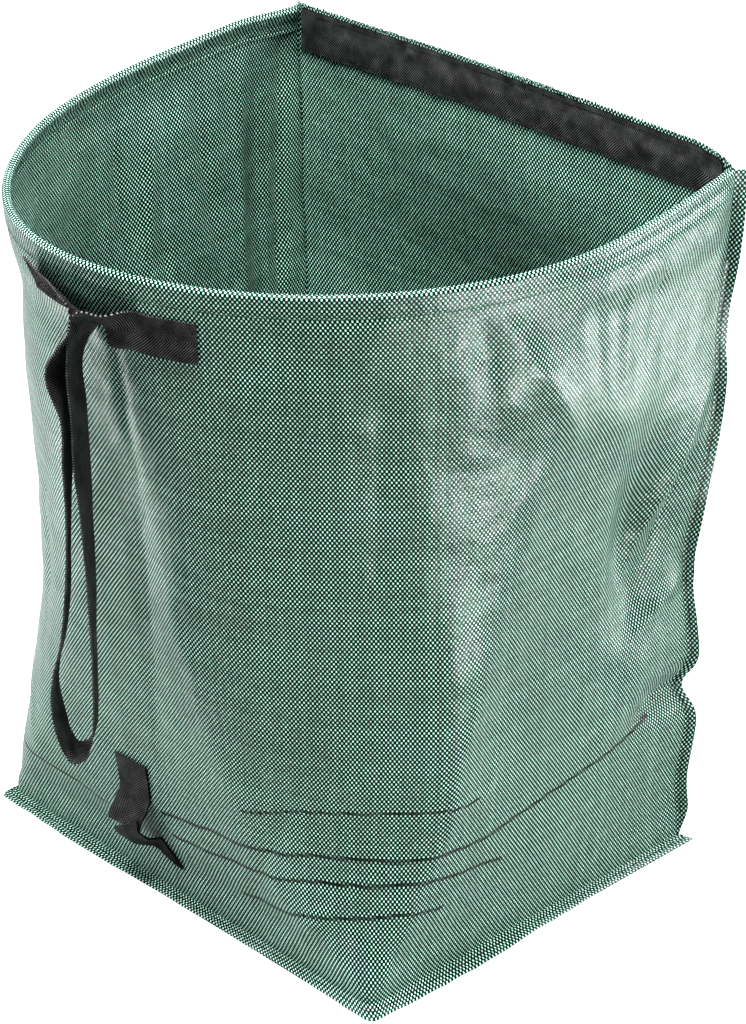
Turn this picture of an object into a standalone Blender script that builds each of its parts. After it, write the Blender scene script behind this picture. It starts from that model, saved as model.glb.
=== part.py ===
"""Garden waste bag with a D-shaped mouth, made of woven plastic tape cloth.

The bag stands on a rectangular base. One wrap of cloth makes the two sides and the round front, a second
panel makes the straight back, and a sprung hoop in the hem holds the mouth open. Units are metres, +X is to
the right along the straight rear edge, +Y is to the rear and +Z is up. The origin is the middle of the base.
"""

import math

import bpy
import numpy as np

# Driving dimensions

MOUTH_WIDTH = 0.500          # straight rear edge, corner to corner
MOUTH_DEPTH = 0.4725         # rear edge to the front of the rim
MOUTH_WIDEST = 0.516         # greatest width of the rim
WIDEST_FROM_REAR = 0.157     # where that width lies
MOUTH_SKEW = 0.023           # the hoop stands this far right of the middle, halfway forward
BAG_HEIGHT = 0.632
FRONT_DIP = 0.006            # the front of the rim hangs this much lower than the rear edge
LEFT_RISE = 0.0075           # the left side of the rim stands this much higher
LEFT_RISE_FROM = 0.070       # over this share of the wrap from the rear corner
LEFT_RISE_END = (0.400, 0.150)    # and down to nothing at a share, over a share

BASE_WIDTH = 0.4655          # over the sewn flange
BASE_DEPTH = 0.380
FLANGE_OUT = 0.009           # the base seam's flange stands out and points down
FLANGE_DROP = 0.006
BASE_CORNER_RADIUS = 0.008
BASE_RISE_RUN = 0.035        # the base panel lifts to its seam over this distance
REAR_EDGE_INSET = 0.0036     # the straight edge leans in this far from the flange's edge

CLOTH = 0.0010
GAP = 0.0003                 # between faces that touch
FLANGE_GAP = 0.0006          # measured straight up, between the sloping layers of the base seam
FIN_WIDTH = 0.010            # seam allowance that stands out at a rear corner
FIN_WIDTH_AT_FOOT = 0.0015
FIN_WIDTH_AT_RIM = 0.006
FIN_TAPER_HEIGHT = 0.040
FIN_STITCH_SHARE = 0.35      # of the fin's width
FLANGE_STITCH_SHARE = 0.45   # of the flange's width

HOOP_RADIUS = 0.00175
CAP_WALL = 0.0005
CAP_LENGTH = 0.014
CAP_OVERLAP = 0.010
TUNNEL_RADIUS = 0.00300      # inside of the hem, round the hoop
HEM_DEPTH = 0.022
HEM_GAP = 0.0006             # between the wall and the inner fold of the hem
HEM_CLOSE = 0.010            # the fold lies against the wall this far below the hoop
HEM_END_FROM_REAR = 0.006
HEM_STITCH_INSET = 0.003

BAND_HEIGHT = 0.038
BAND_BELOW_EDGE = 0.0025
BAND_STITCH_INSET = 0.004
WEBBING = 0.0014
WEBBING_WIDTH = 0.033
THREAD = 0.0008
THREAD_RISE = 0.0005

REAR_Y = BASE_DEPTH / 2 - REAR_EDGE_INSET
SEAM_HALF_X = BASE_WIDTH / 2 - FLANGE_OUT
SEAM_HALF_Y = BASE_DEPTH / 2 - FLANGE_OUT
WALL_TOP_BELOW_RIM = 0.0105
WALL_FOOT_LIFT = 0.0005      # the walls start this far above the flange's root
SIDE_SHARE = SEAM_HALF_Y / (2 * SEAM_HALF_Y + SEAM_HALF_X)

WRAP_STATIONS = 57           # along the wrap, corner to corner
WALL_HEIGHTS = (0.006, 0.022, 0.045, 0.075, 0.110, 0.145, 0.170, 0.200, 0.235, 0.270, 0.310,
                0.355, 0.400, 0.445, 0.490, 0.530, 0.568, 0.600, 0.620)

# The straight rear edge is a little higher than its ends, and falls to its right end in the last 30 mm.
CROWN_X = (-0.250, -0.200, -0.100, 0.000, 0.100, 0.210, 0.234, 0.250)
CROWN_RISE = (0.0000, 0.0020, 0.0060, 0.0090, 0.0105, 0.0115, 0.0075, 0.0000)
CROWN_DEPTH = 0.120          # it fades out over this height of the back panel
CROWN_STATIONS = 25

# The front corners of the wall: at each height, how far the rounding reaches along the front and along the
# side, and its roundness, from 2 for an ellipse to 1 for a straight facet.
CORNER_HEIGHTS = (0.012, 0.036, 0.087, 0.150, 0.210, 0.400, BAG_HEIGHT)
RIM_CORNER = (MOUTH_WIDEST / 2, MOUTH_DEPTH - WIDEST_FROM_REAR)
LEFT_CORNER_FRONT = (BASE_CORNER_RADIUS, 0.020, 0.060, 0.105, 0.140, 0.200, RIM_CORNER[0])
LEFT_CORNER_SIDE = (BASE_CORNER_RADIUS, 0.018, 0.045, 0.075, 0.105, 0.200, RIM_CORNER[1])
RIGHT_CORNER_FRONT = (BASE_CORNER_RADIUS, 0.043, 0.108, 0.142, 0.160, 0.210, RIM_CORNER[0])
RIGHT_CORNER_SIDE = (BASE_CORNER_RADIUS, 0.028, 0.058, 0.095, 0.112, 0.210, RIM_CORNER[1])
CORNER_ROUNDNESS = (2.0, 1.6, 1.5, 1.5, 1.5, 1.7, 2.0)
SECTION_ROWS = 81            # heights at which the wall's plan is worked out
SECTION_SHARES = 401         # and shares of the wrap at which it is kept
SECTION_STEP = 0.004         # share over which the wall's direction is taken
FRAME_RISE = 0.004           # and height over which its slope is taken

# Main folds of the wrap: place along the wrap at the foot and at the rim (0 at the left rear corner, 1 at the
# right one), half width, depth (outward is positive), height of the deepest point, half height.
WRAP_FOLDS = {
    "foot_hollow": (0.500, 0.500, 0.330, -0.0045, 0.036, 0.020),
    "left_front_slack": (0.370, 0.380, 0.090, -0.0070, 0.560, 0.060),
    "left_side_hollow": (0.130, 0.130, 0.110, -0.0120, 0.300, 0.160),
    "strap_valley": (0.496, 0.520, 0.045, -0.0090, 0.380, 0.190),
    "front_swell": (0.600, 0.610, 0.100, 0.0060, 0.300, 0.200),
    "right_front_ridge": (0.755, 0.728, 0.035, 0.0070, 0.240, 0.130),
    "right_side_hollow": (0.860, 0.850, 0.080, -0.0100, 0.330, 0.130),
    "right_rear_dent": (0.965, 0.925, 0.040, -0.0120, 0.330, 0.110),
}
FOLD_FADE = 0.060            # the folds fade in over this height, above the foot and below the hem
FOLD_TOP = BAG_HEIGHT - HEM_DEPTH * 1.4
FOLD_CORNER_SHARE = 0.08     # and over this share of the wrap, from each rear corner
FRONT_SHARES = (0.35, 0.68)  # the wrap's front, between these shares

# How far each rear corner seam is drawn in, diagonally, at a height, over a half height.
CORNER_DRAWS = (
    (0.016, 0.285, 0.075),
    (0.014, 0.158, 0.018),
    (0.005, 0.060, 0.060),
    (0.004, 0.500, 0.060),
)
WRAP_DRAW_SHARE = 0.09       # the draw fades out over this share of the wrap
BACK_DRAW_SHARE = 0.22       # and over this share of the back panel

BACK_SWELL = 0.024           # the back panel swells outwards below its band
BACK_SWELL_HEIGHT = 0.330
BACK_SWELL_HALF = 0.190
BACK_SWELL_FOOT_FADE = 0.100
BACK_SWELL_TOP_FADE = 0.150
BACK_SWELL_TOP = BAG_HEIGHT - BAND_HEIGHT - 0.015
BACK_SWELL_ROUNDNESS = 1.2

# Carry strap, sewn below the front of the rim. Its loop hangs turned, and bends only across its width.
STRAP_MIDDLE_X = 0.022
STRAP_HALF_SPAN = 0.088
STRAP_CENTRE_Z = 0.580
STRAP_LIFT_FROM = (-0.0140, 0.0420)   # where the left and the right end leave the wall
STRAP_HANG = 0.005
STRAP_FOLD_REACH = 0.014
STRAP_FOLD_OUT = 0.012
STRAP_TURN_PACE = 1.0                 # the webbing has turned before it reaches the loop
STRAP_STAND_OFF = 0.0008
BOX_STITCH = 0.025
BOX_STITCH_INSET = 0.003              # from the strap's sewn end
LOOP_X = 0.0135
LOOP_Y = -0.2965
LOOP_TURN = math.radians(46.0)
LOOP_TOP_Z = 0.5600
LOOP_BOTTOM_Z = 0.190
LOOP_TOP_HALF_GAP = 0.0050
LOOP_RADIUS = 0.0165
SWING_Z = 0.5615
SWING_OFFSET = -0.008                 # the loop turns about its outer strand
SWING_GAP = 0.0020

# Grab strap, low on the front
GRAB_WIDTH = 0.038
GRAB_STAND_OFFS = (0.0014, 0.0032)    # of the upper and the lower end, from the wall
GRAB_BEND = 0.006
GRAB_UPPER_HEIGHTS = (0.1290, 0.0960)
GRAB_LOWER_HEIGHTS = (0.0260, 0.0350)
GRAB_UPPER_X = -0.0400
GRAB_LOWER_X = -0.0175
GRAB_ROUTE = (
    (-0.0405, -0.2035, 0.0840),
    (-0.0410, -0.2095, 0.0760),
    (-0.0400, -0.2125, 0.0690),
    (-0.0350, -0.2090, 0.0600),
    (-0.0290, -0.2030, 0.0530),
)

CLOTH_ROUGHNESS = 0.45
WEBBING_ROUGHNESS = 0.80
THREAD_ROUGHNESS = 0.70
VINYL_ROUGHNESS = 0.40
WIRE_ROUGHNESS = 0.35
GREEN = (0.085, 0.240, 0.165, 1.0)
BLACK = (0.012, 0.012, 0.013, 1.0)
DARK_THREAD = (0.020, 0.022, 0.021, 1.0)
GREEN_THREAD = (0.050, 0.150, 0.100, 1.0)
STEEL = (0.550, 0.560, 0.570, 1.0)
VINYL = (0.030, 0.030, 0.032, 1.0)


# Plain mesh building

def clear_scene():
    """Remove every object that the scene holds."""
    for old in list(bpy.data.objects):
        bpy.data.objects.remove(old, do_unlink=True)


def material(name, colour, roughness, metallic=0.0):
    """Return a Principled material."""
    made = bpy.data.materials.new(name)
    made.use_nodes = True
    shader = made.node_tree.nodes["Principled BSDF"]
    shader.inputs["Base Color"].default_value = colour
    shader.inputs["Roughness"].default_value = roughness
    shader.inputs["Metallic"].default_value = metallic
    return made


def signed_volume(points, faces):
    """Return the volume that the faces enclose, negative where they point inwards."""
    total = 0.0
    for face in faces:
        first = points[face[0]]
        for a, b in zip(face[1:-1], face[2:]):
            total += np.dot(first, np.cross(points[a], points[b]))
    return total / 6.0


def solid(name, points, faces, colour, roughness, metallic=0.0, pivot=(0.0, 0.0, 0.0)):
    """Make one closed object whose faces point out, with its origin on the pivot."""
    points = np.asarray(points, dtype=float)
    if signed_volume(points, faces) < 0.0:
        faces = [tuple(reversed(face)) for face in faces]
    pivot = np.asarray(pivot, dtype=float)
    mesh = bpy.data.meshes.new(name)
    mesh.from_pydata((points - pivot).tolist(), [], [tuple(int(i) for i in face) for face in faces])
    mesh.update()
    mesh.shade_smooth()
    mesh.set_sharp_from_angle(angle=math.radians(35.0))
    made = bpy.data.objects.new(name, mesh)
    made.location = pivot
    made.data.materials.append(material(name, colour, roughness, metallic))
    bpy.context.collection.objects.link(made)
    return made


def grid_faces(rows, columns, start=0, flip=False):
    """Return the quads of a grid whose point (i, j) has the index start + i * columns + j."""
    faces = []
    for i in range(rows - 1):
        for j in range(columns - 1):
            a = start + i * columns + j
            quad = (a, a + 1, a + columns + 1, a + columns)
            faces.append(tuple(reversed(quad)) if flip else quad)
    return faces


def sheet_solid(name, middle, thickness, colour, roughness):
    """Thicken a grid of points (rows, columns, 3) by half its thickness each way and close its border."""
    rows, columns = middle.shape[:2]
    across = np.cross(np.gradient(middle, axis=0), np.gradient(middle, axis=1))
    across /= np.linalg.norm(across, axis=2, keepdims=True)
    upper = (middle + across * thickness / 2).reshape(-1, 3)
    lower = (middle - across * thickness / 2).reshape(-1, 3)
    count = rows * columns
    faces = grid_faces(rows, columns) + grid_faces(rows, columns, count, flip=True)
    border = [j for j in range(columns)]
    border += [i * columns + columns - 1 for i in range(1, rows)]
    border += [(rows - 1) * columns + j for j in range(columns - 2, -1, -1)]
    border += [i * columns for i in range(rows - 2, 0, -1)]
    for a, b in zip(border, border[1:] + border[:1]):
        faces.append((b, a, a + count, b + count))
    return solid(name, np.concatenate([upper, lower]), faces, colour, roughness)


def swept_solid(name, path, side, up, outline, colour, roughness, metallic=0.0, pivot=(0.0, 0.0, 0.0)):
    """Carry a closed outline (k, 2) along a path, on its side and up directions, and cap both ends."""
    outline = np.asarray(outline, dtype=float)
    rings = (path[:, None, :] + outline[None, :, 0, None] * side[:, None, :]
             + outline[None, :, 1, None] * up[:, None, :])
    stations, points = rings.shape[:2]
    faces = []
    for i in range(stations - 1):
        for j in range(points):
            k = (j + 1) % points
            faces.append((i * points + j, i * points + k, (i + 1) * points + k, (i + 1) * points + j))
    faces.append(tuple(reversed(range(points))))
    faces.append(tuple(range((stations - 1) * points, stations * points)))
    return solid(name, rings.reshape(-1, 3), faces, colour, roughness, metallic, pivot)


def make_thread(name, path, side, up, colour):
    """Make one row of stitches as a strand with its middle on the path."""
    swept_solid(name, path, side, up, box_outline(THREAD_RISE, THREAD), colour, THREAD_ROUGHNESS)


def box_outline(width, height):
    """Return a rectangle's outline about its middle."""
    x = width / 2
    y = height / 2
    return [(-x, -y), (x, -y), (x, y), (-x, y)]


def arc_outline(radius, start, end, count, centre=(0.0, 0.0)):
    """Return points on an arc, with its angles in degrees."""
    angles = np.radians(np.linspace(start, end, count))
    return [(centre[0] + radius * math.cos(a), centre[1] + radius * math.sin(a)) for a in angles]


def unit(vectors):
    """Scale each vector to a length of one."""
    return vectors / np.linalg.norm(vectors, axis=-1, keepdims=True)


def along(points, share):
    """Return the points at shares of a polyline's length."""
    steps = np.linalg.norm(np.diff(points, axis=0), axis=1)
    length = np.concatenate([[0.0], np.cumsum(steps)])
    place = share * length[-1]
    return np.stack([np.interp(place, length, column) for column in points.T], axis=-1)


def smooth_curve(points, count):
    """Return points on a Catmull-Rom curve through the given ones."""
    points = np.asarray(points, dtype=float)
    padded = np.concatenate([[2 * points[0] - points[1]], points, [2 * points[-1] - points[-2]]])
    made = []
    for place in np.linspace(0.0, len(points) - 1.0, count):
        k = min(int(place), len(points) - 2)
        t = place - k
        a, b, c, d = padded[k:k + 4]
        made.append(0.5 * (2 * b + (c - a) * t + (2 * a - 5 * b + 4 * c - d) * t ** 2
                           + (3 * b - a - 3 * c + d) * t ** 3))
    return np.array(made)


# The shape of the cloth

def ease(x):
    """Rise smoothly from 0 to 1."""
    x = np.clip(x, 0.0, 1.0)
    return x * x * (3.0 - 2.0 * x)


def bell(x, middle, half):
    """Return a smooth bump of height 1."""
    return np.exp(-((x - middle) / half) ** 2)


def foot_plan(share, half_x, half_y, radius):
    """Return the wrap's foot: three sides of a rectangle with round front corners, from the left rear."""
    left = [(-half_x, half_y), (-half_x, -half_y + radius)]
    left_arc = arc_outline(radius, 180.0, 270.0, 7, (-half_x + radius, -half_y + radius))
    right_arc = arc_outline(radius, 270.0, 360.0, 7, (half_x - radius, -half_y + radius))
    right = [(half_x, -half_y + radius), (half_x, half_y)]
    return along(np.array(left[:1] + left_arc + right_arc + right[1:]), share)


def between_heights(z, values):
    """Return the value at a height, on a smooth curve through the values at CORNER_HEIGHTS."""
    z = min(max(z, CORNER_HEIGHTS[0]), CORNER_HEIGHTS[-1])
    spans = np.diff(CORNER_HEIGHTS)
    slopes = np.diff(values) / spans
    k = min(int(np.searchsorted(CORNER_HEIGHTS, z, side="right")) - 1, len(spans) - 1)
    ends = []
    for place in (k, k + 1):
        before, after = slopes[max(place - 1, 0)], slopes[min(place, len(spans) - 1)]
        level = before * after <= 0.0
        ends.append(0.0 if level else 2 * before * after / (before + after))
    t = (z - CORNER_HEIGHTS[k]) / spans[k]
    turned = (t ** 3 - 2 * t ** 2 + t) * ends[0] + (t ** 3 - t ** 2) * ends[1]
    return values[k] + (values[k + 1] - values[k]) * ease(t) + turned * spans[k]


def wall_section(z):
    """Return the wall's plan at a height: two sides that swell a little, and rounded front corners."""
    rise = z / BAG_HEIGHT
    rear = SEAM_HALF_X + (MOUTH_WIDTH / 2 - SEAM_HALF_X) * rise
    widest = SEAM_HALF_X + (MOUTH_WIDEST / 2 - SEAM_HALF_X) * rise
    depth = 2 * SEAM_HALF_Y + (MOUTH_DEPTH - 2 * SEAM_HALF_Y) * rise
    rear_y = SEAM_HALF_Y + (REAR_Y - SEAM_HALF_Y) * rise
    roundness = between_heights(z, CORNER_ROUNDNESS)
    turn = np.linspace(0.0, math.pi / 2, 120)[1:]
    halves = []
    for front_values, side_values in ((LEFT_CORNER_FRONT, LEFT_CORNER_SIDE),
                                      (RIGHT_CORNER_FRONT, RIGHT_CORNER_SIDE)):
        front = between_heights(z, front_values)
        side = depth - between_heights(z, side_values)
        back = np.linspace(0.0, side, 60)
        side_x = widest - (widest - rear) * (1.0 - back / side) ** 2
        corner_x = widest - front + front * np.cos(turn) ** (2 / roundness)
        corner_back = side + (depth - side) * np.sin(turn) ** (2 / roundness)
        halves.append((np.concatenate([side_x, corner_x]), np.concatenate([back, corner_back])))
    (left_x, left_back), (right_x, right_back) = halves
    x = np.concatenate([-left_x, right_x[::-1]])
    back = np.concatenate([left_back, right_back[::-1]])
    x = x + MOUTH_SKEW * rise * np.sin(np.pi * back / depth)
    return np.stack([x, rear_y - back], axis=1)


def rim_plan(share):
    """Return the rim's plan at shares of its length, from the left rear corner."""
    return along(RIM_SECTION, share)


def wall_plan(share, z):
    """Return the wall's plan at shares of its length and heights, read from the worked out sections."""
    row = np.clip(z / BAG_HEIGHT * (SECTION_ROWS - 1), 0.0, SECTION_ROWS - 1.001)
    column = np.clip(share * (SECTION_SHARES - 1), 0.0, SECTION_SHARES - 1.001)
    i = row.astype(int)
    j = column.astype(int)
    up = (row - i)[..., None]
    on = (column - j)[..., None]
    lower = WALL_SECTIONS[i, j] * (1.0 - on) + WALL_SECTIONS[i, j + 1] * on
    upper = WALL_SECTIONS[i + 1, j] * (1.0 - on) + WALL_SECTIONS[i + 1, j + 1] * on
    return lower * (1.0 - up) + upper * up


def rim_height(share):
    """Return the rim's height above the floor at shares of the wrap."""
    dip = FRONT_DIP * (REAR_Y - rim_plan(share)[:, 1]) / MOUTH_DEPTH
    end, fade = LEFT_RISE_END
    return BAG_HEIGHT - dip + LEFT_RISE * ease(share / LEFT_RISE_FROM) * ease((end - share) / fade)


def crown(x):
    """Return how much higher the rear edge is at an x than at its ends."""
    return np.interp(x, CROWN_X, CROWN_RISE)


def corner_draw(z):
    """Return how far a rear corner seam is drawn in at a height."""
    return sum(depth * bell(z, middle, half) for depth, middle, half in CORNER_DRAWS)


def wrap_point(share, z):
    """Return points of the wrap's middle surface at shares of its length and heights under the rim."""
    share, z = np.broadcast_arrays(np.asarray(share, dtype=float), np.asarray(z, dtype=float))
    plan = wall_plan(share, z)
    run = unit(wall_plan(share + SECTION_STEP, z) - wall_plan(share - SECTION_STEP, z))
    outward = np.stack([run[..., 1], -run[..., 0]], axis=-1)
    length = 2 * (2 * SEAM_HALF_Y + SEAM_HALF_X)
    held = ease(z / FOLD_FADE) * ease((FOLD_TOP - z) / FOLD_FADE)
    free = ease(share / FOLD_CORNER_SHARE) * ease((1.0 - share) / FOLD_CORNER_SHARE)
    push = np.zeros(share.shape)
    for low, high, half, depth, height, half_height in WRAP_FOLDS.values():
        line = low + (high - low) * z / BAG_HEIGHT
        push += depth * bell(share * length, line * length, half) * bell(z, height, half_height)
    plan = plan + outward * (push * held * free)[..., None]
    near_left = 1.0 - ease(share / WRAP_DRAW_SHARE)
    near_right = 1.0 - ease((1.0 - share) / WRAP_DRAW_SHARE)
    draw = corner_draw(z) * held
    plan[..., 0] += draw * math.sqrt(0.5) * (near_left - near_right)
    plan[..., 1] -= draw * math.sqrt(0.5) * (near_left + near_right)
    return np.stack([plan[..., 0], plan[..., 1], z], axis=-1)


def wrap_frame(share, z):
    """Return the wrap's points with its outward, forward and upward directions there."""
    share = np.asarray(share)
    z = np.asarray(z)
    here = wrap_point(share, z)
    run = unit(wrap_point(share + SECTION_STEP, z) - wrap_point(share - SECTION_STEP, z))
    rise = unit(wrap_point(share, z + FRAME_RISE) - wrap_point(share, z - FRAME_RISE))
    outward = unit(np.cross(run, rise))
    return here, outward, run, rise


def corner_line(z, side):
    """Return a rear corner seam's points; side is -1 on the left and 1 on the right."""
    return wrap_point(np.full(np.shape(z), 0.0 if side < 0 else 1.0), z)


def fin_offsets(z, side):
    """Return a fin's outward diagonal, the direction from the back panel to the wrap, and its width."""
    out = np.array([side * math.sqrt(0.5), math.sqrt(0.5), 0.0])
    to_wrap = np.array([side * math.sqrt(0.5), -math.sqrt(0.5), 0.0])
    width = FIN_WIDTH_AT_FOOT + (FIN_WIDTH - FIN_WIDTH_AT_FOOT) * ease(z / FIN_TAPER_HEIGHT)
    return out, to_wrap, width


RIM_SECTION = wall_section(BAG_HEIGHT)
WALL_SECTIONS = np.array([along(wall_section(z), np.linspace(0.0, 1.0, SECTION_SHARES))
                          for z in np.linspace(0.0, BAG_HEIGHT, SECTION_ROWS)])


# Cloth panels

def flange_middle_z():
    """Return the heights of the upper flange layer's middle at its root and its tip."""
    tip = CLOTH * 1.5 + FLANGE_GAP
    return tip + FLANGE_DROP - CLOTH, tip


def floor_ring(half_x, half_y, radius, z):
    """Return a closed outline of the base: the wrap's three sides, then the rear edge back to its start."""
    sides = foot_plan(wrap_shares(), half_x, half_y, radius)
    rear_x = np.linspace(half_x, -half_x, 9)[1:-1]
    rear = np.column_stack([rear_x, np.full(len(rear_x), half_y)])
    plan = np.concatenate([sides, rear])
    return np.column_stack([plan, np.full(len(plan), z)])


def make_base_panel():
    """Make the flat base, which lifts to its seam and turns down again in the sewn flange."""
    seam_z = flange_middle_z()[0] - CLOTH - FLANGE_GAP
    flat = floor_ring(SEAM_HALF_X - BASE_RISE_RUN, SEAM_HALF_Y - BASE_RISE_RUN, BASE_CORNER_RADIUS, CLOTH / 2)
    seam = floor_ring(SEAM_HALF_X, SEAM_HALF_Y, BASE_CORNER_RADIUS, seam_z)
    tip = floor_ring(BASE_WIDTH / 2, BASE_DEPTH / 2, BASE_CORNER_RADIUS / 2, CLOTH / 2)
    count = len(flat)
    lift = np.array([0.0, 0.0, CLOTH / 2])
    rings = (flat + lift, seam + lift, tip + lift, tip - lift, seam - lift, flat - lift)
    faces = [tuple(range(count)), tuple(5 * count + k for k in reversed(range(count)))]
    for ring in range(5):
        faces += ring_faces(ring * count, (ring + 1) * count, count)
    solid("base_panel", np.concatenate(rings), faces, GREEN, CLOTH_ROUGHNESS)


def wrap_shares():
    """Return the wrap's stations, closer together round the front corners of the foot."""
    even = np.linspace(0.0, 1.0, WRAP_STATIONS)
    extra = []
    for place in (SIDE_SHARE, 1.0 - SIDE_SHARE):
        extra += [place - 0.008, place, place + 0.008]
    kept = [s for s in even if all(abs(s - e) > 0.006 for e in extra)]
    return np.array(sorted(kept + extra))


def make_wrap_panel():
    """Make the wrap: sides and front in one piece, with its flange at the foot and a fin at each end."""
    shares = wrap_shares()
    root_z, tip_z = flange_middle_z()
    heights = np.array((root_z + WALL_FOOT_LIFT,) + WALL_HEIGHTS[1:])
    rows = []
    tip = foot_plan(shares, BASE_WIDTH / 2, BASE_DEPTH / 2, BASE_CORNER_RADIUS / 2)
    rows.append(np.column_stack([tip, np.full(len(shares), tip_z)]))
    for k, z in enumerate(heights):
        level = np.full(len(shares), z)
        if k == len(heights) - 1:
            level = rim_height(shares) - WALL_TOP_BELOW_RIM
        rows.append(wrap_point(shares, level))
    panel = np.array(rows)
    ends = []
    for side, column in ((-1, panel[:, 0]), (1, panel[:, -1])):
        out, to_wrap, width = fin_offsets(column[:, 2], side)
        width[0] = FIN_WIDTH_AT_FOOT
        root = column + to_wrap * (CLOTH + GAP) / 2
        column[:] = root
        ends.append(root + out * width[:, None])
    panel = np.concatenate([ends[0][:, None], panel, ends[1][:, None]], axis=1)
    sheet_solid("wrap_panel", panel, CLOTH, GREEN, CLOTH_ROUGHNESS)


def back_point(share, z):
    """Return points of the back panel's middle surface; share runs from the left seam to the right one."""
    left = corner_line(z, -1)
    right = corner_line(z, 1)
    share = np.asarray(share)
    point = left + (right - left) * share[..., None]
    held = ease(z / FOLD_FADE) * ease((FOLD_TOP - z) / FOLD_FADE)
    from_corner = ease(np.minimum(share, 1.0 - share) / BACK_DRAW_SHARE)
    point[..., 1] += corner_draw(z) * held * math.sqrt(0.5) * from_corner
    fade = ease(z / BACK_SWELL_FOOT_FADE) * ease((BACK_SWELL_TOP - z) / BACK_SWELL_TOP_FADE)
    arch = np.sin(np.pi * share) ** BACK_SWELL_ROUNDNESS
    point[..., 1] += BACK_SWELL * bell(z, BACK_SWELL_HEIGHT, BACK_SWELL_HALF) * arch * fade
    point[..., 2] += crown(point[..., 0]) * ease((z - BAG_HEIGHT + CROWN_DEPTH) / CROWN_DEPTH)
    return point


def make_back_panel():
    """Make the flat back, with its flange at the foot and a fin down each side."""
    shares = np.linspace(0.0, 1.0, 17)
    root_z, tip_z = flange_middle_z()
    top = (BAG_HEIGHT - WALL_TOP_BELOW_RIM, BAG_HEIGHT)
    heights = np.array((root_z + WALL_FOOT_LIFT,) + WALL_HEIGHTS[1:-1] + top)
    tip = np.column_stack([(shares * 2 - 1) * BASE_WIDTH / 2, np.full(len(shares), BASE_DEPTH / 2),
                           np.full(len(shares), tip_z)])
    rows = [tip]
    for z in heights:
        rows.append(back_point(shares, np.full(len(shares), z)))
    panel = np.array(rows)
    ends = []
    for side, column in ((-1, panel[:, 0]), (1, panel[:, -1])):
        out, to_wrap, width = fin_offsets(column[:, 2], side)
        width[0] = FIN_WIDTH_AT_FOOT
        width[-1] = FIN_WIDTH_AT_RIM
        root = column - to_wrap * (CLOTH + GAP) / 2
        column[:] = root
        ends.append(root + out * width[:, None])
    panel = np.concatenate([ends[0][:, None], panel, ends[1][:, None]], axis=1)
    sheet_solid("back_panel", panel, CLOTH, GREEN, CLOTH_ROUGHNESS)


# Rim

def rim_stations(from_rear, count=61):
    """Return shares of the wrap between two points that lie a distance in front of the rear edge."""
    length = np.linalg.norm(np.diff(rim_plan(np.linspace(0, 1, 400)), axis=0), axis=1).sum()
    return np.linspace(from_rear / length, 1.0 - from_rear / length, count)


def rim_frame(shares):
    """Return the rim's edge line with its directions out of the cloth and up along it."""
    edge = np.column_stack([rim_plan(shares), rim_height(shares)])
    run = unit(rim_plan(shares + 0.002) - rim_plan(shares - 0.002))
    run = np.column_stack([run, np.zeros(len(run))])
    lower = wrap_point(shares, edge[:, 2] - HEM_DEPTH)
    upper = wrap_point(shares, edge[:, 2])
    up = upper - lower
    up = unit(up - run * np.sum(up * run, axis=1, keepdims=True))
    outward = np.cross(run, up)
    return upper, outward, up


def hoop_centre():
    """Return where the hoop runs in the rim's section: out from the cloth's middle, and up from the edge."""
    return -(TUNNEL_RADIUS + CLOTH / 2), -(TUNNEL_RADIUS + CLOTH)


def make_rim_hem():
    """Make the hem: up the outside, over the hoop, and down the inside to its row of stitches."""
    out, up = hoop_centre()
    outer = TUNNEL_RADIUS + CLOTH
    inner = TUNNEL_RADIUS
    foot = -WALL_TOP_BELOW_RIM + GAP
    outline = [(CLOTH / 2, foot)] + arc_outline(outer, 0.0, 180.0, 8, (out, up))
    flap = -CLOTH * 0.5 - HEM_GAP
    outline += [(flap - CLOTH, up - HEM_CLOSE), (flap - CLOTH, -HEM_DEPTH)]
    outline += [(flap, -HEM_DEPTH), (flap, up - HEM_CLOSE)]
    outline += arc_outline(inner, 180.0, 0.0, 8, (out, up)) + [(-CLOTH / 2, foot)]
    edge, side, rise = rim_frame(rim_stations(HEM_END_FROM_REAR))
    swept_solid("rim_hem", edge, side, rise, outline, GREEN, CLOTH_ROUGHNESS)


def make_hoop():
    """Make the sprung wire hoop and the vinyl cap on each of its ends."""
    out, up = hoop_centre()
    reach = HEM_END_FROM_REAR + CAP_LENGTH - CAP_OVERLAP
    edge, side, rise = rim_frame(rim_stations(reach))
    path = edge + side * out + rise * up
    wire = arc_outline(HOOP_RADIUS, 0.0, 315.0, 8)
    swept_solid("rim_hoop", path, side, rise, wire, STEEL, WIRE_ROUGHNESS, metallic=1.0)
    for name, flip in (("hoop_cap_left", False), ("hoop_cap_right", True)):
        make_cap(name, path[::-1] if flip else path, side[::-1] if flip else side, rise)


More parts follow.
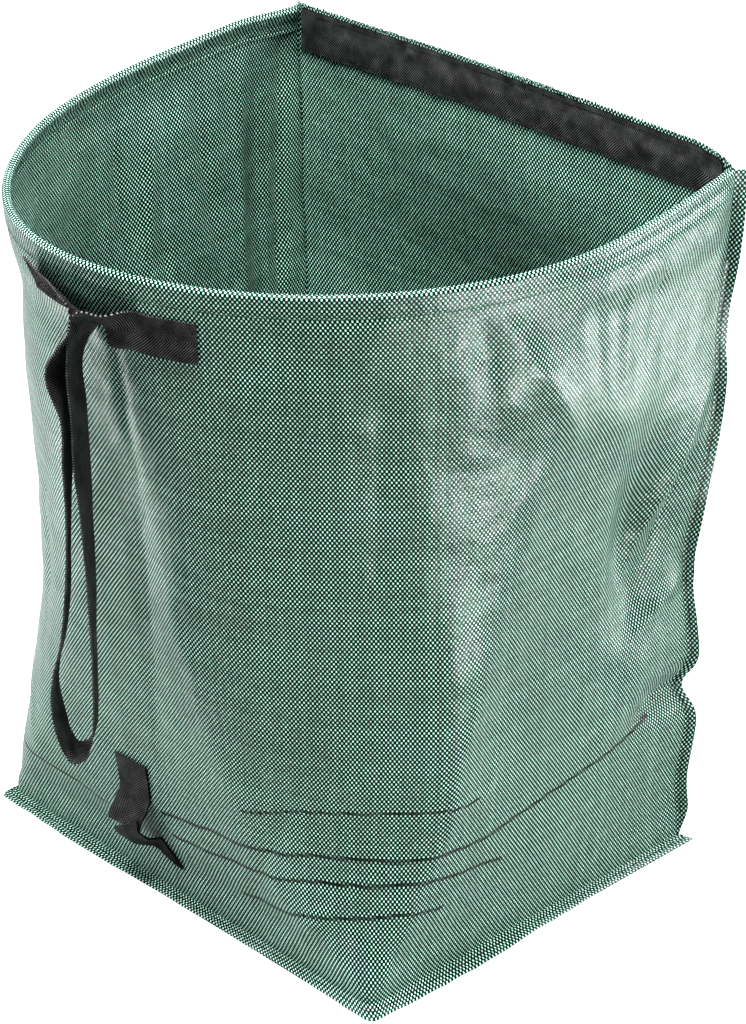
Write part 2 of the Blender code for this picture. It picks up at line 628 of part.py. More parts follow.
def make_cap(name, path, side, rise):
    """Make a blind sleeve over the first end of the hoop's path."""
    ahead = unit(path[1] - path[0])
    bore = HOOP_RADIUS + GAP
    outer = bore + CAP_WALL
    stops = ((CAP_OVERLAP, outer), (0.0, outer), (-CAP_LENGTH + CAP_OVERLAP + 0.001, outer),
             (-CAP_LENGTH + CAP_OVERLAP, outer * 0.6))
    inside = ((-0.0005, bore * 0.9), (0.0, bore), (CAP_OVERLAP, bore))
    points = []
    sides = 12
    for place, radius in stops + inside:
        for k in range(sides):
            angle = 2 * math.pi * k / sides
            spoke = side[0] * math.cos(angle) + rise[0] * math.sin(angle)
            points.append(path[0] + ahead * place + spoke * radius)
    faces = []
    rings = len(stops)
    for ring in range(rings - 1):
        faces += ring_faces(ring * sides, (ring + 1) * sides, sides)
    faces.append(tuple((rings - 1) * sides + k for k in reversed(range(sides))))
    faces.append(tuple(rings * sides + k for k in range(sides)))
    for ring in range(rings, rings + len(inside) - 1):
        faces += ring_faces(ring * sides, (ring + 1) * sides, sides)
    faces += ring_faces((rings + len(inside) - 1) * sides, 0, sides)
    solid(name, points, faces, VINYL, VINYL_ROUGHNESS)


def ring_faces(first, second, sides):
    """Return the quads between two rings of points."""
    return [(first + k, second + k, second + (k + 1) % sides, first + (k + 1) % sides) for k in range(sides)]


def make_edge_band():
    """Make the webbing band along the inside of the straight rear edge, and its two rows of stitches."""
    out, _ = hoop_centre()
    half = MOUTH_WIDTH / 2 + out - TUNNEL_RADIUS - CLOTH - GAP
    face_y = REAR_Y - (CLOTH + GAP) / 2 - CLOTH / 2
    x = np.linspace(-half, half, CROWN_STATIONS)
    centre_z = BAG_HEIGHT - BAND_BELOW_EDGE - BAND_HEIGHT / 2 + crown(x)
    path = np.column_stack([x, np.full(len(x), face_y), centre_z])
    depth = np.tile([0.0, -1.0, 0.0], (len(x), 1))
    rise = np.tile([0.0, 0.0, 1.0], (len(x), 1))
    placed = [(GAP * 2 + x + WEBBING / 2, y) for x, y in box_outline(WEBBING, BAND_HEIGHT)]
    swept_solid("edge_band", path, depth, rise, placed, BLACK, WEBBING_ROUGHNESS)
    face = path + depth * (GAP * 3 + WEBBING + THREAD_RISE / 2)
    inset = BAND_HEIGHT / 2 - BAND_STITCH_INSET
    make_thread("edge_band_stitch_upper", face + rise * inset, depth, rise, DARK_THREAD)
    make_thread("edge_band_stitch_lower", face - rise * inset, depth, rise, DARK_THREAD)


def make_hem_stitch():
    """Make the row of stitches that closes the hem, on its inner face."""
    edge, side, rise = rim_frame(rim_stations(HEM_END_FROM_REAR))
    inward = CLOTH * 1.5 + HEM_GAP + GAP + THREAD_RISE / 2
    path = edge - side * inward + rise * (HEM_STITCH_INSET - HEM_DEPTH)
    make_thread("hem_stitch", path, side, rise, GREEN_THREAD)


def make_corner_stitches():
    """Make the row of stitches down each rear corner seam, on the wrap's fin."""
    heights = np.array(WALL_HEIGHTS[3:])
    for name, side in (("corner_stitch_left", -1), ("corner_stitch_right", 1)):
        out, to_wrap, width = fin_offsets(heights, side)
        path = corner_line(heights, side) + out * (width * FIN_STITCH_SHARE)[:, None]
        path = path + to_wrap * ((CLOTH + GAP) / 2 + CLOTH / 2 + GAP * 2 + THREAD_RISE / 2)
        depth = np.tile(to_wrap, (len(path), 1))
        make_thread(name, path, depth, np.tile(out, (len(path), 1)), DARK_THREAD)


def make_base_stitches():
    """Make the row of stitches through the base flange: one run round the wrap and one along the back."""
    shares = wrap_shares()[1:-1]
    root_z, tip_z = flange_middle_z()
    root = wrap_point(shares, np.full(len(shares), root_z + WALL_FOOT_LIFT))
    tip = np.column_stack([foot_plan(shares, BASE_WIDTH / 2, BASE_DEPTH / 2, BASE_CORNER_RADIUS / 2),
                           np.full(len(shares), tip_z)])
    down = unit(tip - root)
    run = unit(np.gradient(root, axis=0))
    above = unit(np.cross(down, run))
    above *= np.sign(above[:, 2:3])
    path = root + (tip - root) * FLANGE_STITCH_SHARE + above * (CLOTH / 2 + GAP * 3 + THREAD_RISE / 2)
    make_thread("base_stitch_wrap", path, above, down, DARK_THREAD)
    half = SEAM_HALF_X - 0.010
    slope = unit(np.array([0.0, FLANGE_OUT, tip_z - root_z - WALL_FOOT_LIFT]))
    above = np.array([0.0, -slope[2], slope[1]])
    middle = np.array([0.0, SEAM_HALF_Y + FLANGE_OUT * FLANGE_STITCH_SHARE,
                       root_z + (tip_z - root_z) * FLANGE_STITCH_SHARE])
    middle = middle + above * (CLOTH / 2 + GAP * 3 + THREAD_RISE / 2)
    path = np.array([middle - (half, 0, 0), middle + (half, 0, 0)])
    make_thread("base_stitch_back", path, np.tile(above, (2, 1)), np.tile(slope, (2, 1)), DARK_THREAD)


# Straps

def share_at_x(x, z):
    """Return the share of the front where the wrap has an x, found by halving."""
    low, high = FRONT_SHARES
    for _ in range(40):
        middle = (low + high) / 2
        if wrap_point(middle, z)[0] < x:
            low = middle
        else:
            high = middle
    return (low + high) / 2


def box_stitch(name, centre, outward, run, rise, size):
    """Make a sewn box with a cross in it, as one flat body that lies on the webbing."""
    half = size / 2
    thread = THREAD * 1.4
    corner_in = half - thread
    apex = thread * 0.75
    outer = [(-half, -half), (half, -half), (half, half), (-half, half)]
    holes = []
    for k in range(4):
        turn = math.radians(90.0 * k)
        cut = corner_in - thread
        for u, v in ((-cut, -corner_in), (cut, -corner_in), (0.0, -apex)):
            holes.append((u * math.cos(turn) - v * math.sin(turn), u * math.sin(turn) + v * math.cos(turn)))
    plan = outer + holes
    points = []
    for lift in (GAP, GAP + THREAD_RISE):
        for u, v in plan:
            points.append(centre + run * u + rise * v + outward * (WEBBING / 2 + GAP + lift))
    top = []
    for k in range(4):
        last = (k - 1) % 4
        a, b, c = (4 + 3 * k + i for i in range(3))
        last_b = 4 + 3 * last + 1
        last_c = 4 + 3 * last + 2
        top.append((k, (k + 1) % 4, b, a))
        top.append((k, a, last_b))
        top.append((last_b, a, c, last_c))
    top.append((6, 9, 12, 15))
    count = len(plan)
    faces = [tuple(i + count for i in face) for face in top] + [tuple(reversed(face)) for face in top]
    for k in range(4):
        n = (k + 1) % 4
        faces.append((k, n, n + count, k + count))
        a, b, c = (4 + 3 * k + i for i in range(3))
        for p, q in ((b, a), (c, b), (a, c)):
            faces.append((p, q, q + count, p + count))
    solid(name, points, faces, DARK_THREAD, THREAD_ROUGHNESS)


def loop_directions():
    """Return the hanging loop's directions: from strand to strand, and along the webbing's width."""
    across = np.array([math.cos(LOOP_TURN), math.sin(LOOP_TURN), 0.0])
    width = np.array([-math.sin(LOOP_TURN), math.cos(LOOP_TURN), 0.0])
    return across, width


def make_strap_end(side, start_x, leave_x, strand):
    """Make a sewn end: flat along the wall from start_x, then lifting and turning down to its strand."""
    across, width = loop_directions()
    places = np.linspace(start_x, leave_x, 8)
    shares = np.array([share_at_x(x, STRAP_CENTRE_Z) for x in places])
    here, outward, run, rise = wrap_frame(shares, np.full(len(shares), STRAP_CENTRE_Z))
    lying = here + outward * (CLOTH / 2 + STRAP_STAND_OFF + WEBBING / 2)
    leave = lying[-1]
    ahead = unit(lying[-1] - lying[-2])
    foot = np.array([LOOP_X, LOOP_Y, LOOP_TOP_Z + SWING_GAP]) + across * strand
    hang = foot + np.array([0.0, 0.0, STRAP_HANG])
    first = leave + ahead * STRAP_FOLD_REACH + outward[-1] * STRAP_FOLD_OUT
    second = hang + np.array([0.0, 0.0, STRAP_FOLD_REACH])
    t = np.linspace(0.0, 1.0, 9)[1:, None]
    lifting = leave * (1 - t) ** 3 + first * 3 * t * (1 - t) ** 2
    lifting = lifting + second * 3 * t ** 2 * (1 - t) + hang * t ** 3
    path = np.concatenate([lying, lifting, foot[None, :]])
    turn = ease(t * STRAP_TURN_PACE)
    turned = rise[-1] * (1 - turn) - width * turn
    wide = np.concatenate([rise, turned, -width[None, :]])
    forward = unit(np.gradient(path, axis=0))
    forward[-2:] = (0.0, 0.0, -1.0)
    wide = unit(wide - forward * np.sum(wide * forward, axis=1, keepdims=True))
    swept_solid("carry_strap_end_" + side, path, np.cross(forward, wide), wide,
                box_outline(WEBBING, WEBBING_WIDTH), BLACK, WEBBING_ROUGHNESS)
    inset = (BOX_STITCH / 2 + BOX_STITCH_INSET) * (1.0 if leave_x > start_x else -1.0)
    share = share_at_x(start_x + inset, STRAP_CENTRE_Z)
    here, out, along_run, up = wrap_frame(share, STRAP_CENTRE_Z)
    centre = here + out * (CLOTH / 2 + STRAP_STAND_OFF + WEBBING / 2)
    box_stitch("carry_strap_box_stitch_" + side, centre, out, along_run, up, BOX_STITCH)


def make_carry_strap():
    """Make the carry strap: its two sewn ends, their box stitches, and the loop that hangs between them."""
    make_strap_end("left", STRAP_MIDDLE_X - STRAP_HALF_SPAN, STRAP_LIFT_FROM[0], -LOOP_TOP_HALF_GAP)
    make_strap_end("right", STRAP_MIDDLE_X + STRAP_HALF_SPAN, STRAP_LIFT_FROM[1], LOOP_TOP_HALF_GAP)
    across, width = loop_directions()
    arc_z = LOOP_BOTTOM_Z + LOOP_RADIUS
    drop = np.linspace(LOOP_TOP_Z, arc_z, 8)
    spread = LOOP_TOP_HALF_GAP + (LOOP_RADIUS - LOOP_TOP_HALF_GAP) * ease(np.linspace(0.0, 1.0, 8))
    arc = np.radians(np.linspace(180.0, 360.0, 13)[1:-1])
    u = np.concatenate([-spread, LOOP_RADIUS * np.cos(arc), spread[::-1]])
    z = np.concatenate([drop, arc_z + LOOP_RADIUS * np.sin(arc), drop[::-1]])
    path = np.array([LOOP_X, LOOP_Y, 0.0]) + u[:, None] * across + z[:, None] * np.array([0.0, 0.0, 1.0])
    run = unit(np.gradient(path, axis=0))
    side = np.tile(width, (len(path), 1))
    axis_point = np.array([LOOP_X, LOOP_Y, SWING_Z]) + across * SWING_OFFSET
    swept_solid("carry_strap_loop", path, np.cross(run, side), side, box_outline(WEBBING, WEBBING_WIDTH),
                BLACK, WEBBING_ROUGHNESS, pivot=axis_point)


def lie_then_lift(along_wall, leave, far, count=8):
    """Return a path that lies on the wall from one point to the next, then bends away to a far one."""
    lying = np.array([along_wall, leave])
    ahead = leave + unit(leave - along_wall) * GRAB_BEND
    t = np.linspace(0.0, 1.0, count)[1:, None]
    lifting = leave * (1 - t) ** 2 + ahead * 2 * t * (1 - t) + far * t ** 2
    return np.concatenate([lying, lifting])


def make_grab_strap():
    """Make the grab strap: a sewn upper end, a loop that stands out, and a sewn lower end."""
    route = np.array(GRAB_ROUTE)
    across = np.array([1.0, 0.0, 0.0])
    pieces = {"grab_strap_loop": smooth_curve(route, 17)[1:-1]}
    ends = (("grab_strap_end_upper", GRAB_UPPER_X, GRAB_UPPER_HEIGHTS, GRAB_STAND_OFFS[0], route[0]),
            ("grab_strap_end_lower", GRAB_LOWER_X, GRAB_LOWER_HEIGHTS, GRAB_STAND_OFFS[1], route[-1]))
    for name, x, heights, stand_off, far in ends:
        points = []
        for z in heights:
            here, out, _, _ = wrap_frame(share_at_x(x, z), z)
            points.append(here + out * (CLOTH / 2 + stand_off + WEBBING / 2))
        pieces[name] = lie_then_lift(points[0], points[1], far)
    for name, path in pieces.items():
        run = unit(np.gradient(path, axis=0))
        depth = unit(np.cross(run, across))
        side = unit(np.cross(depth, run))
        pivot = route[0] if name == "grab_strap_loop" else (0.0, 0.0, 0.0)
        swept_solid(name, path, depth, side, box_outline(WEBBING, GRAB_WIDTH),
                    BLACK, WEBBING_ROUGHNESS, pivot=pivot)


def build():
    """Make every piece of the bag."""
    clear_scene()
    make_base_panel()
    make_wrap_panel()
    make_back_panel()
    make_rim_hem()
    make_hoop()
    make_edge_band()
    make_hem_stitch()
    make_corner_stitches()
    make_base_stitches()
    make_carry_strap()
    make_grab_strap()


build()
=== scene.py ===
import math

import bpy
import numpy as np
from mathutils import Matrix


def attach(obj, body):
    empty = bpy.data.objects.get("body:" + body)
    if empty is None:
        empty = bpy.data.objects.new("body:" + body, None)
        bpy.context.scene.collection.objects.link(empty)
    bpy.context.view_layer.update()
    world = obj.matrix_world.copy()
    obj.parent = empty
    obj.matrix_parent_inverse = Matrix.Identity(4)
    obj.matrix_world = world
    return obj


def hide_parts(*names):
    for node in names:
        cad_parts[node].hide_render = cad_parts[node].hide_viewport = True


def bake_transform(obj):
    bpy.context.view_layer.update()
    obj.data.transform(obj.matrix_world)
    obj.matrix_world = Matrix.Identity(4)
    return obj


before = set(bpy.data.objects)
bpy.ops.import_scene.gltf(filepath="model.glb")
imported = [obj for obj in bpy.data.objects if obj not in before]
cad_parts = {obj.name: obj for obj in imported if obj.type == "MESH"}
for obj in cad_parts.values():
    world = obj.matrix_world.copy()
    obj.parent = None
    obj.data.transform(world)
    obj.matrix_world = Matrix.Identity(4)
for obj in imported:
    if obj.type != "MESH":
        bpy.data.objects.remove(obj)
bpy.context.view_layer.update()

# Camera, floor and light
# The camera looks down on the right front corner through a long lens. A large pale floor, a dim sky and soft
# boxes give the plain studio light, and the glossy cloth also reflects a few cards, most of them on the floor.
CAMERA_AT = (2.056, -1.9376, 1.827)
CAMERA_AZIMUTH = 46.17
CAMERA_ELEVATION = 28.37
CAMERA_LENS = 136.1
CAMERA_SENSOR = 36.0
CAMERA_REACH = 50.0
FLOOR_HALF = 30.0
FLOOR_Z = -0.0003
FLOOR_COLOUR = (0.68, 0.68, 0.68, 1.0)
FLOOR_ROUGHNESS = 0.9
FLOOR_GLOW = 0.74
SKY_STRENGTH = 0.09
WHITE = (1.0, 1.0, 1.0, 1.0)
# Name: place, size, power, aimed at.
SOFT_BOXES = {
    "light_right": ((1.9, 1.5, 1.3), 1.4, 35.0, (0.1, 0.0, 0.35)),
    "light_left": ((-1.9, -1.2, 1.0), 1.2, 26.0, (0.0, 0.0, 0.35)),
    "light_above": ((0.3, -0.5, 2.35), 1.1, 60.0, (0.0, 0.0, 0.3)),
}
# The cards light nothing: they only show as reflections.
CARDS = {
    "card_right": ((1.25, 0.02, 0.02), 0.62, 24.0, (1.25, 0.02, 1.0)),
    "card_rear_right": ((0.80, 0.95, 0.02), 0.42, 9.0, (0.80, 0.95, 1.0)),
    "card_hem": ((0.98, 1.34, 1.08), 0.70, 20.0, (0.27, 0.10, 0.60)),
    "card_left": ((-0.60, -0.48, 0.02), 0.30, 1.0, (-0.60, -0.48, 1.0)),
}


def link_object(name, data):
    """Add an object with this data to the scene."""
    made = bpy.data.objects.new(name, data)
    bpy.context.collection.objects.link(made)
    return made


def make_piece(name, points, faces, place=None):
    """Make a mesh object. place is each point's place on the flat cloth, in metres, and becomes the UV map."""
    mesh = bpy.data.meshes.new(name)
    mesh.from_pydata(points.tolist(), [], faces.tolist())
    if place is not None:
        corner = np.empty(len(mesh.loops), dtype=np.int32)
        mesh.loops.foreach_get("vertex_index", corner)
        layer = mesh.uv_layers.new(name="cloth")
        layer.data.foreach_set("uv", place[corner].astype(np.float32).ravel())
    mesh.update()
    return link_object(name, mesh)


def feed(tree, node, inputs):
    """Set a node's inputs, given in order or by name: each is a value, or a socket to link."""
    for key, value in inputs.items() if isinstance(inputs, dict) else enumerate(inputs):
        if isinstance(value, bpy.types.NodeSocket):
            tree.links.new(value, node.inputs[key])
        else:
            node.inputs[key].default_value = value


def add_node(tree, kind, inputs=(), **settings):
    """Add a shader node with these settings and inputs. Return the node."""
    node = tree.nodes.new("ShaderNode" + kind)
    for key, value in settings.items():
        setattr(node, key, value)
    feed(tree, node, inputs)
    return node


def math_node(tree, operation, *values):
    """Add a Math node. Return its output."""
    return add_node(tree, "Math", values, operation=operation).outputs[0]


def new_material(name):
    """Start a material. Return it with its node tree and its shader."""
    made = bpy.data.materials.new(name)
    made.use_nodes = True
    return made, made.node_tree, made.node_tree.nodes["Principled BSDF"]


camera = link_object("camera", bpy.data.cameras.new("camera"))
camera.data.lens = CAMERA_LENS
camera.data.sensor_width = CAMERA_SENSOR
camera.data.clip_end = CAMERA_REACH
camera.location = CAMERA_AT
camera.rotation_euler = (math.radians(90.0 - CAMERA_ELEVATION), 0.0, math.radians(CAMERA_AZIMUTH))
bpy.context.scene.camera = camera

floor_corners = [(x * FLOOR_HALF, y * FLOOR_HALF, FLOOR_Z) for x, y in ((-1, -1), (1, -1), (1, 1), (-1, 1))]
studio_floor = make_piece("studio_floor", np.array(floor_corners), np.array([(0, 1, 2, 3)]))
floor_material, floor_tree, floor_shader = new_material("studio_floor")
seen = add_node(floor_tree, "LightPath").outputs["Is Camera Ray"]
feed(floor_tree, floor_shader, {
    "Base Color": FLOOR_COLOUR, "Roughness": FLOOR_ROUGHNESS, "Emission Color": WHITE,
    "Emission Strength": math_node(floor_tree, "MULTIPLY", seen, FLOOR_GLOW)})
studio_floor.data.materials.append(floor_material)

sky = bpy.data.worlds.new("studio")
sky.use_nodes = True
feed(sky.node_tree, sky.node_tree.nodes["Background"], {"Color": WHITE, "Strength": SKY_STRENGTH})
bpy.context.scene.world = sky
bpy.context.scene.view_settings.view_transform = "Standard"
bpy.context.scene.view_settings.look = "High Contrast"

for name, (place, size, power, target) in (SOFT_BOXES | CARDS).items():
    lamp = bpy.data.lights.new(name, "AREA")
    lamp.shape = "SQUARE"
    lamp.size = size
    lamp.energy = power
    box = link_object(name, lamp)
    box.location = place
    aim = np.array(target) - np.array(place)
    box.rotation_euler = (math.atan2(math.hypot(aim[0], aim[1]), -aim[2]), 0.0, math.atan2(-aim[0], aim[1]))
    box.visible_camera = False
    box.visible_diffuse = name not in CARDS


# Base cloth
# The floor of the bag is one rectangle of woven plastic tapes. It lies flat, lifts to its seam, and its cut
# edge turns down again under the edge of the walls, where the two are sewn together.
BASE_WIDTH = 0.4655
BASE_DEPTH = 0.380
FLANGE_OUT = 0.009
FOOT_RADIUS = 0.008
BASE_RISE_RUN = 0.035
SEAM_HALF_X = BASE_WIDTH / 2 - FLANGE_OUT
SEAM_HALF_Y = BASE_DEPTH / 2 - FLANGE_OUT
BASE_SEAM_Z = 0.0060
BASE_TIP_Z = 0.0005
CLOTH = 0.00035
WARP_PITCH = 0.00181
WEFT_PITCH = 0.00235
BASE_COLUMNS = 105
BASE_ROWS = 87
BASE_PLACE = 4.0
# The slow waves near the base's edge: height, random seed, wavelength.
BASE_WAVE = (0.0006, 3, 0.11)
BASE_WAVE_BAND = 0.05
SHARP_EDGE = 60.0


def ease(x):
    """Rise smoothly from 0 to 1: 3 x squared minus 2 x cubed."""
    x = np.clip(x, 0.0, 1.0)
    return x * x * (3.0 - 2.0 * x)


def bell(x, middle, half):
    """Return exp(-((x - middle) / half) squared), a smooth bump of height 1."""
    return np.exp(-((x - middle) / half) ** 2)


def unit(vectors):
    """Scale each vector to a length of one."""
    return vectors / np.linalg.norm(vectors, axis=-1, keepdims=True)


def drift(x, y, seed, wave, count=9):
    """Return a smooth, unpatterned height of about 1: a sum of sines in random directions.

    Each is sin(k . (x, y) + phase) with a wavelength from 0.7 to 1.6 times wave.
    """
    random = np.random.default_rng(seed)
    total = np.zeros(np.broadcast(x, y).shape)
    for _ in range(count):
        turn = random.uniform(0.0, 2 * math.pi)
        k = 2 * math.pi / (wave * random.uniform(0.7, 1.6))
        total += np.sin(k * (math.cos(turn) * x + math.sin(turn) * y) + random.uniform(0.0, 2 * math.pi))
    return total / math.sqrt(count)


def run_length(path):
    """Return the length along a path at each of its points; only its first three columns are a place."""
    return np.concatenate([[0.0], np.cumsum(np.linalg.norm(np.diff(path[:, :3], axis=0), axis=1))])


def read_at(place, length, values):
    """Return the rows of values at places along a path, linearly between its points at these lengths."""
    return np.stack([np.interp(place, length, column) for column in values.T], axis=-1)


def cloth_mesh(name, middle, place, thickness=CLOTH):
    """Make a thin closed sheet from a grid of points: middle(i, j) plus and minus half its thickness.

    The normal is the cross product of the grid's two directions. place(i, j) is where each point lies on the
    flat cloth. The faces are turned outwards by the sign of the volume that they enclose.
    """
    rows, columns = middle.shape[:2]
    normal = unit(np.cross(np.gradient(middle, axis=0), np.gradient(middle, axis=1))) * thickness / 2
    points = np.concatenate([(middle + normal).reshape(-1, 3), (middle - normal).reshape(-1, 3)])
    count = rows * columns
    index = np.arange(count).reshape(rows, columns)
    quads = np.stack([index[:-1, :-1], index[:-1, 1:], index[1:, 1:], index[1:, :-1]], axis=-1).reshape(-1, 4)
    border = np.concatenate([index[0, :], index[1:, -1], index[-1, -2::-1], index[-2:0:-1, 0]])
    following = np.roll(border, -1)
    rim = np.stack([following, border, border + count, following + count], axis=-1)
    faces = np.concatenate([quads, quads[:, ::-1] + count, rim])
    a, b, c, d = (points[corner] for corner in faces.T)
    if np.sum(a * (np.cross(b, c) + np.cross(c, d))) < 0.0:
        faces = faces[:, ::-1]
    piece = make_piece(name, points, faces, np.tile(place.reshape(-1, 2), (2, 1)))
    piece.data.shade_smooth()
    piece.data.set_sharp_from_angle(angle=math.radians(SHARP_EDGE))
    return piece


def base_point(x, y):
    """Return the base cloth: flat, with a smooth rise to its seam and a straight fall to its cut edge.

    A point outside a front corner's arc is drawn in onto the circle through it.
    """
    corner_x = np.abs(x) - (BASE_WIDTH / 2 - FOOT_RADIUS)
    corner_y = -y - (BASE_DEPTH / 2 - FOOT_RADIUS)
    inside = (corner_x > 0.0) & (corner_y > 0.0)
    reach = np.maximum(corner_x, corner_y) / np.maximum(np.hypot(corner_x, corner_y), 1e-9)
    pull = np.where(inside, 1.0 - reach, 0.0)
    x = x - np.sign(x) * corner_x * pull
    y = y + corner_y * pull
    edge = np.minimum(BASE_WIDTH / 2 - np.abs(x), BASE_DEPTH / 2 - np.abs(y))
    rise = ease(1.0 - (edge - FLANGE_OUT) / BASE_RISE_RUN) * (BASE_SEAM_Z - CLOTH / 2)
    fall = (BASE_SEAM_Z - BASE_TIP_Z) * np.clip(1.0 - edge / FLANGE_OUT, 0.0, 1.0)
    height, seed, wave = BASE_WAVE
    near_edge = ease(edge / BASE_WAVE_BAND) * (1.0 - ease((edge - 0.09) / BASE_WAVE_BAND))
    lift = height * (drift(x, y, seed, wave) + 1.6) * near_edge
    return np.stack([x, y, CLOTH / 2 + rise - fall + lift], axis=-1)


grid_x, grid_y = np.meshgrid(np.linspace(-BASE_WIDTH / 2, BASE_WIDTH / 2, BASE_COLUMNS),
                             np.linspace(-BASE_DEPTH / 2, BASE_DEPTH / 2, BASE_ROWS))
base_flat = np.stack([grid_x + BASE_PLACE, grid_y], axis=-1)
base_cloth = cloth_mesh("base_cloth", base_point(grid_x, grid_y), base_flat)


def group_of(name, inputs, outputs):
    """Start a shader node group. Return it with its input sockets and its output node."""
    group = bpy.data.node_groups.new(name, "ShaderNodeTree")
    for socket, kind, value in inputs:
        made = group.interface.new_socket(socket, in_out="INPUT", socket_type="NodeSocket" + kind)
        if value is not None:
            made.default_value = value
    for socket in outputs:
        group.interface.new_socket(socket, in_out="OUTPUT", socket_type="NodeSocketFloat")
    return group, group.nodes.new("NodeGroupInput").outputs, group.nodes.new("NodeGroupOutput")


def vector_node(tree, operation, *values):
    """Add a Vector Math node. Return the node."""
    return add_node(tree, "VectorMath", values, operation=operation)


def mix_colour(tree, factor, first, second):
    """Add a colour Mix node. Return its output."""
    return add_node(tree, "Mix", {0: factor, 6: first, 7: second}, data_type="RGBA").outputs[2]


def ramp(tree, factor, stops):
    """Add a colour ramp through stops, each a place with a red, a green and a blue. Return its output."""
    node = add_node(tree, "ValToRGB", (factor,))
    while len(node.color_ramp.elements) < len(stops):
        node.color_ramp.elements.new(1.0)
    for element, (place, *colour) in zip(node.color_ramp.elements, stops):
        element.position = place
        element.color = (*colour, 1.0)
    return node.outputs[0]


def noise(tree, vector, scale, detail=2.0, roughness=0.5, output="Fac"):
    """Add a Noise texture. Return its factor, or its colour."""
    inputs = {"Vector": vector, "Scale": scale, "Detail": detail, "Roughness": roughness}
    return add_node(tree, "TexNoise", inputs).outputs[output]


def bump(tree, height, strength, distance, **under):
    """Add a Bump node, over another one's normal if that is given as Normal. Return its output."""
    inputs = {"Height": height, "Strength": strength, "Distance": distance, **under}
    return add_node(tree, "Bump", inputs).outputs[0]


# Over and under: two sets of tapes or yarns that cross, each over every second one of the other set.
over_under, over_in, over_out = group_of(
    "over_under",
    (("Place", "Vector", None), ("Warp Pitch", "Float", 0.002), ("Weft Pitch", "Float", 0.002)),
    ("Over", "Height", "Tone"))
split = add_node(over_under, "SeparateXYZ", (over_in["Place"],))
waves = []
tones = []
for part, pitch in zip(split.outputs[:2], (over_in["Warp Pitch"], over_in["Weft Pitch"])):
    tape = math_node(over_under, "DIVIDE", part, pitch)
    waves.append(math_node(over_under, "SINE", math_node(over_under, "MULTIPLY", tape, math.pi)))
    own = add_node(over_under, "TexWhiteNoise", noise_dimensions="1D")
    feed(over_under, own, {"W": math_node(over_under, "FLOOR", tape)})
    tones.append(own.outputs["Value"])
crossing = math_node(over_under, "MULTIPLY", *waves)
feed(over_under, over_out, {
    "Over": math_node(over_under, "MULTIPLY_ADD", crossing, 0.5, 0.5),
    "Height": math_node(over_under, "POWER", math_node(over_under, "ABSOLUTE", crossing), 0.5),
    "Tone": math_node(over_under, "MULTIPLY", math_node(over_under, "ADD", *tones), 0.5)})

# A crease: 1 on the line from one point to another, falling smoothly to 0 at a half width from it.
crease_line, crease_in, crease_out = group_of(
    "crease_line",
    (("Place", "Vector", None), ("Start", "Vector", None), ("End", "Vector", None),
     ("Half Width", "Float", 0.002)),
    ("Mask",))
from_start = vector_node(crease_line, "SUBTRACT", crease_in["Place"], crease_in["Start"]).outputs[0]
whole = vector_node(crease_line, "SUBTRACT", crease_in["End"], crease_in["Start"]).outputs[0]
travelled = vector_node(crease_line, "DOT_PRODUCT", from_start, whole).outputs["Value"]
squared = vector_node(crease_line, "DOT_PRODUCT", whole, whole).outputs["Value"]
share_along = math_node(crease_line, "MINIMUM", math_node(crease_line, "DIVIDE", travelled, squared), 1.0)
reached = vector_node(crease_line, "SCALE", whole)
feed(crease_line, reached, {"Scale": math_node(crease_line, "MAXIMUM", share_along, 0.0)})
missed = vector_node(crease_line, "DISTANCE", from_start, reached.outputs[0]).outputs["Value"]
nearness = add_node(crease_line, "MapRange", {"Value": missed, "From Max": crease_in["Half Width"],
                                              "To Min": 1.0, "To Max": 0.0}, interpolation_type="SMOOTHSTEP")
feed(crease_line, crease_out, {"Mask": nearness.outputs["Result"]})

# Crumple: flat facets a few centimetres across that meet in sharp, bent lines, as in folded stiff film.
crumple, crumple_in, crumple_out = group_of(
    "crumple", (("Place", "Vector", None), ("Size", "Float", 30.0)), ("Height", "Patch"))
bending = noise(crumple, crumple_in["Place"], 14.0, output="Color")
bent = vector_node(crumple, "MULTIPLY_ADD", bending, (0.030, 0.030, 0.0), crumple_in["Place"]).outputs[0]
facets = add_node(crumple, "TexVoronoi", {"Vector": bent, "Scale": crumple_in["Size"]}, feature="F1")
feed(crumple, crumple_out, {"Height": facets.outputs["Distance"],
                            "Patch": noise(crumple, crumple_in["Place"], 7.0, 4.0, 0.6)})

# Creases that the bag was packed with, on the wrap's flat cloth: their half width, and their points in metres
# from the middle of its length and from the cut edge of its foot.
# They are drawn only as painted shade: the cloth's colour is darkened along each of them.
PACKING_CREASES = (
    (0.0030, ((-0.005, 0.100), (0.065, 0.114), (0.116, 0.121), (0.186, 0.135), (0.271, 0.137), (0.341, 0.130),
              (0.412, 0.138), (0.496, 0.147), (0.557, 0.155))),
    (0.0027, ((0.005, 0.080), (0.070, 0.089), (0.116, 0.096), (0.181, 0.110), (0.255, 0.116), (0.292, 0.112),
              (0.366, 0.099))),
    (0.0026, ((0.086, 0.056), (0.135, 0.066), (0.181, 0.080), (0.255, 0.090), (0.296, 0.083))),
    (0.0019, ((0.111, 0.158), (0.186, 0.178), (0.271, 0.183), (0.327, 0.176))),
    (0.0019, ((-0.211, 0.076), (-0.135, 0.076), (-0.086, 0.072))),
)
# The cloth's colour from under a black tape to on top of a green one: place, red, green, blue. A green tape
# pales towards its middle, partly its own tone and partly a painted highlight on its crown.
CLOTH_RAMP = (
    (0.00, 0.001, 0.005, 0.003), (0.48, 0.002, 0.012, 0.008), (0.54, 0.015, 0.140, 0.085),
    (0.62, 0.170, 0.500, 0.370), (0.72, 0.640, 0.900, 0.800), (1.00, 0.800, 0.970, 0.900),
)
TAPE_HEIGHT = 0.00014
FACET_HEIGHT = 0.0012
FACET_SCALE = 34.0
CRINKLE_HEIGHT = 0.0011
CRINKLE_SCALE = 110.0
CREASE_WOBBLE = 0.006
CLOTH_SPECULAR = 0.25


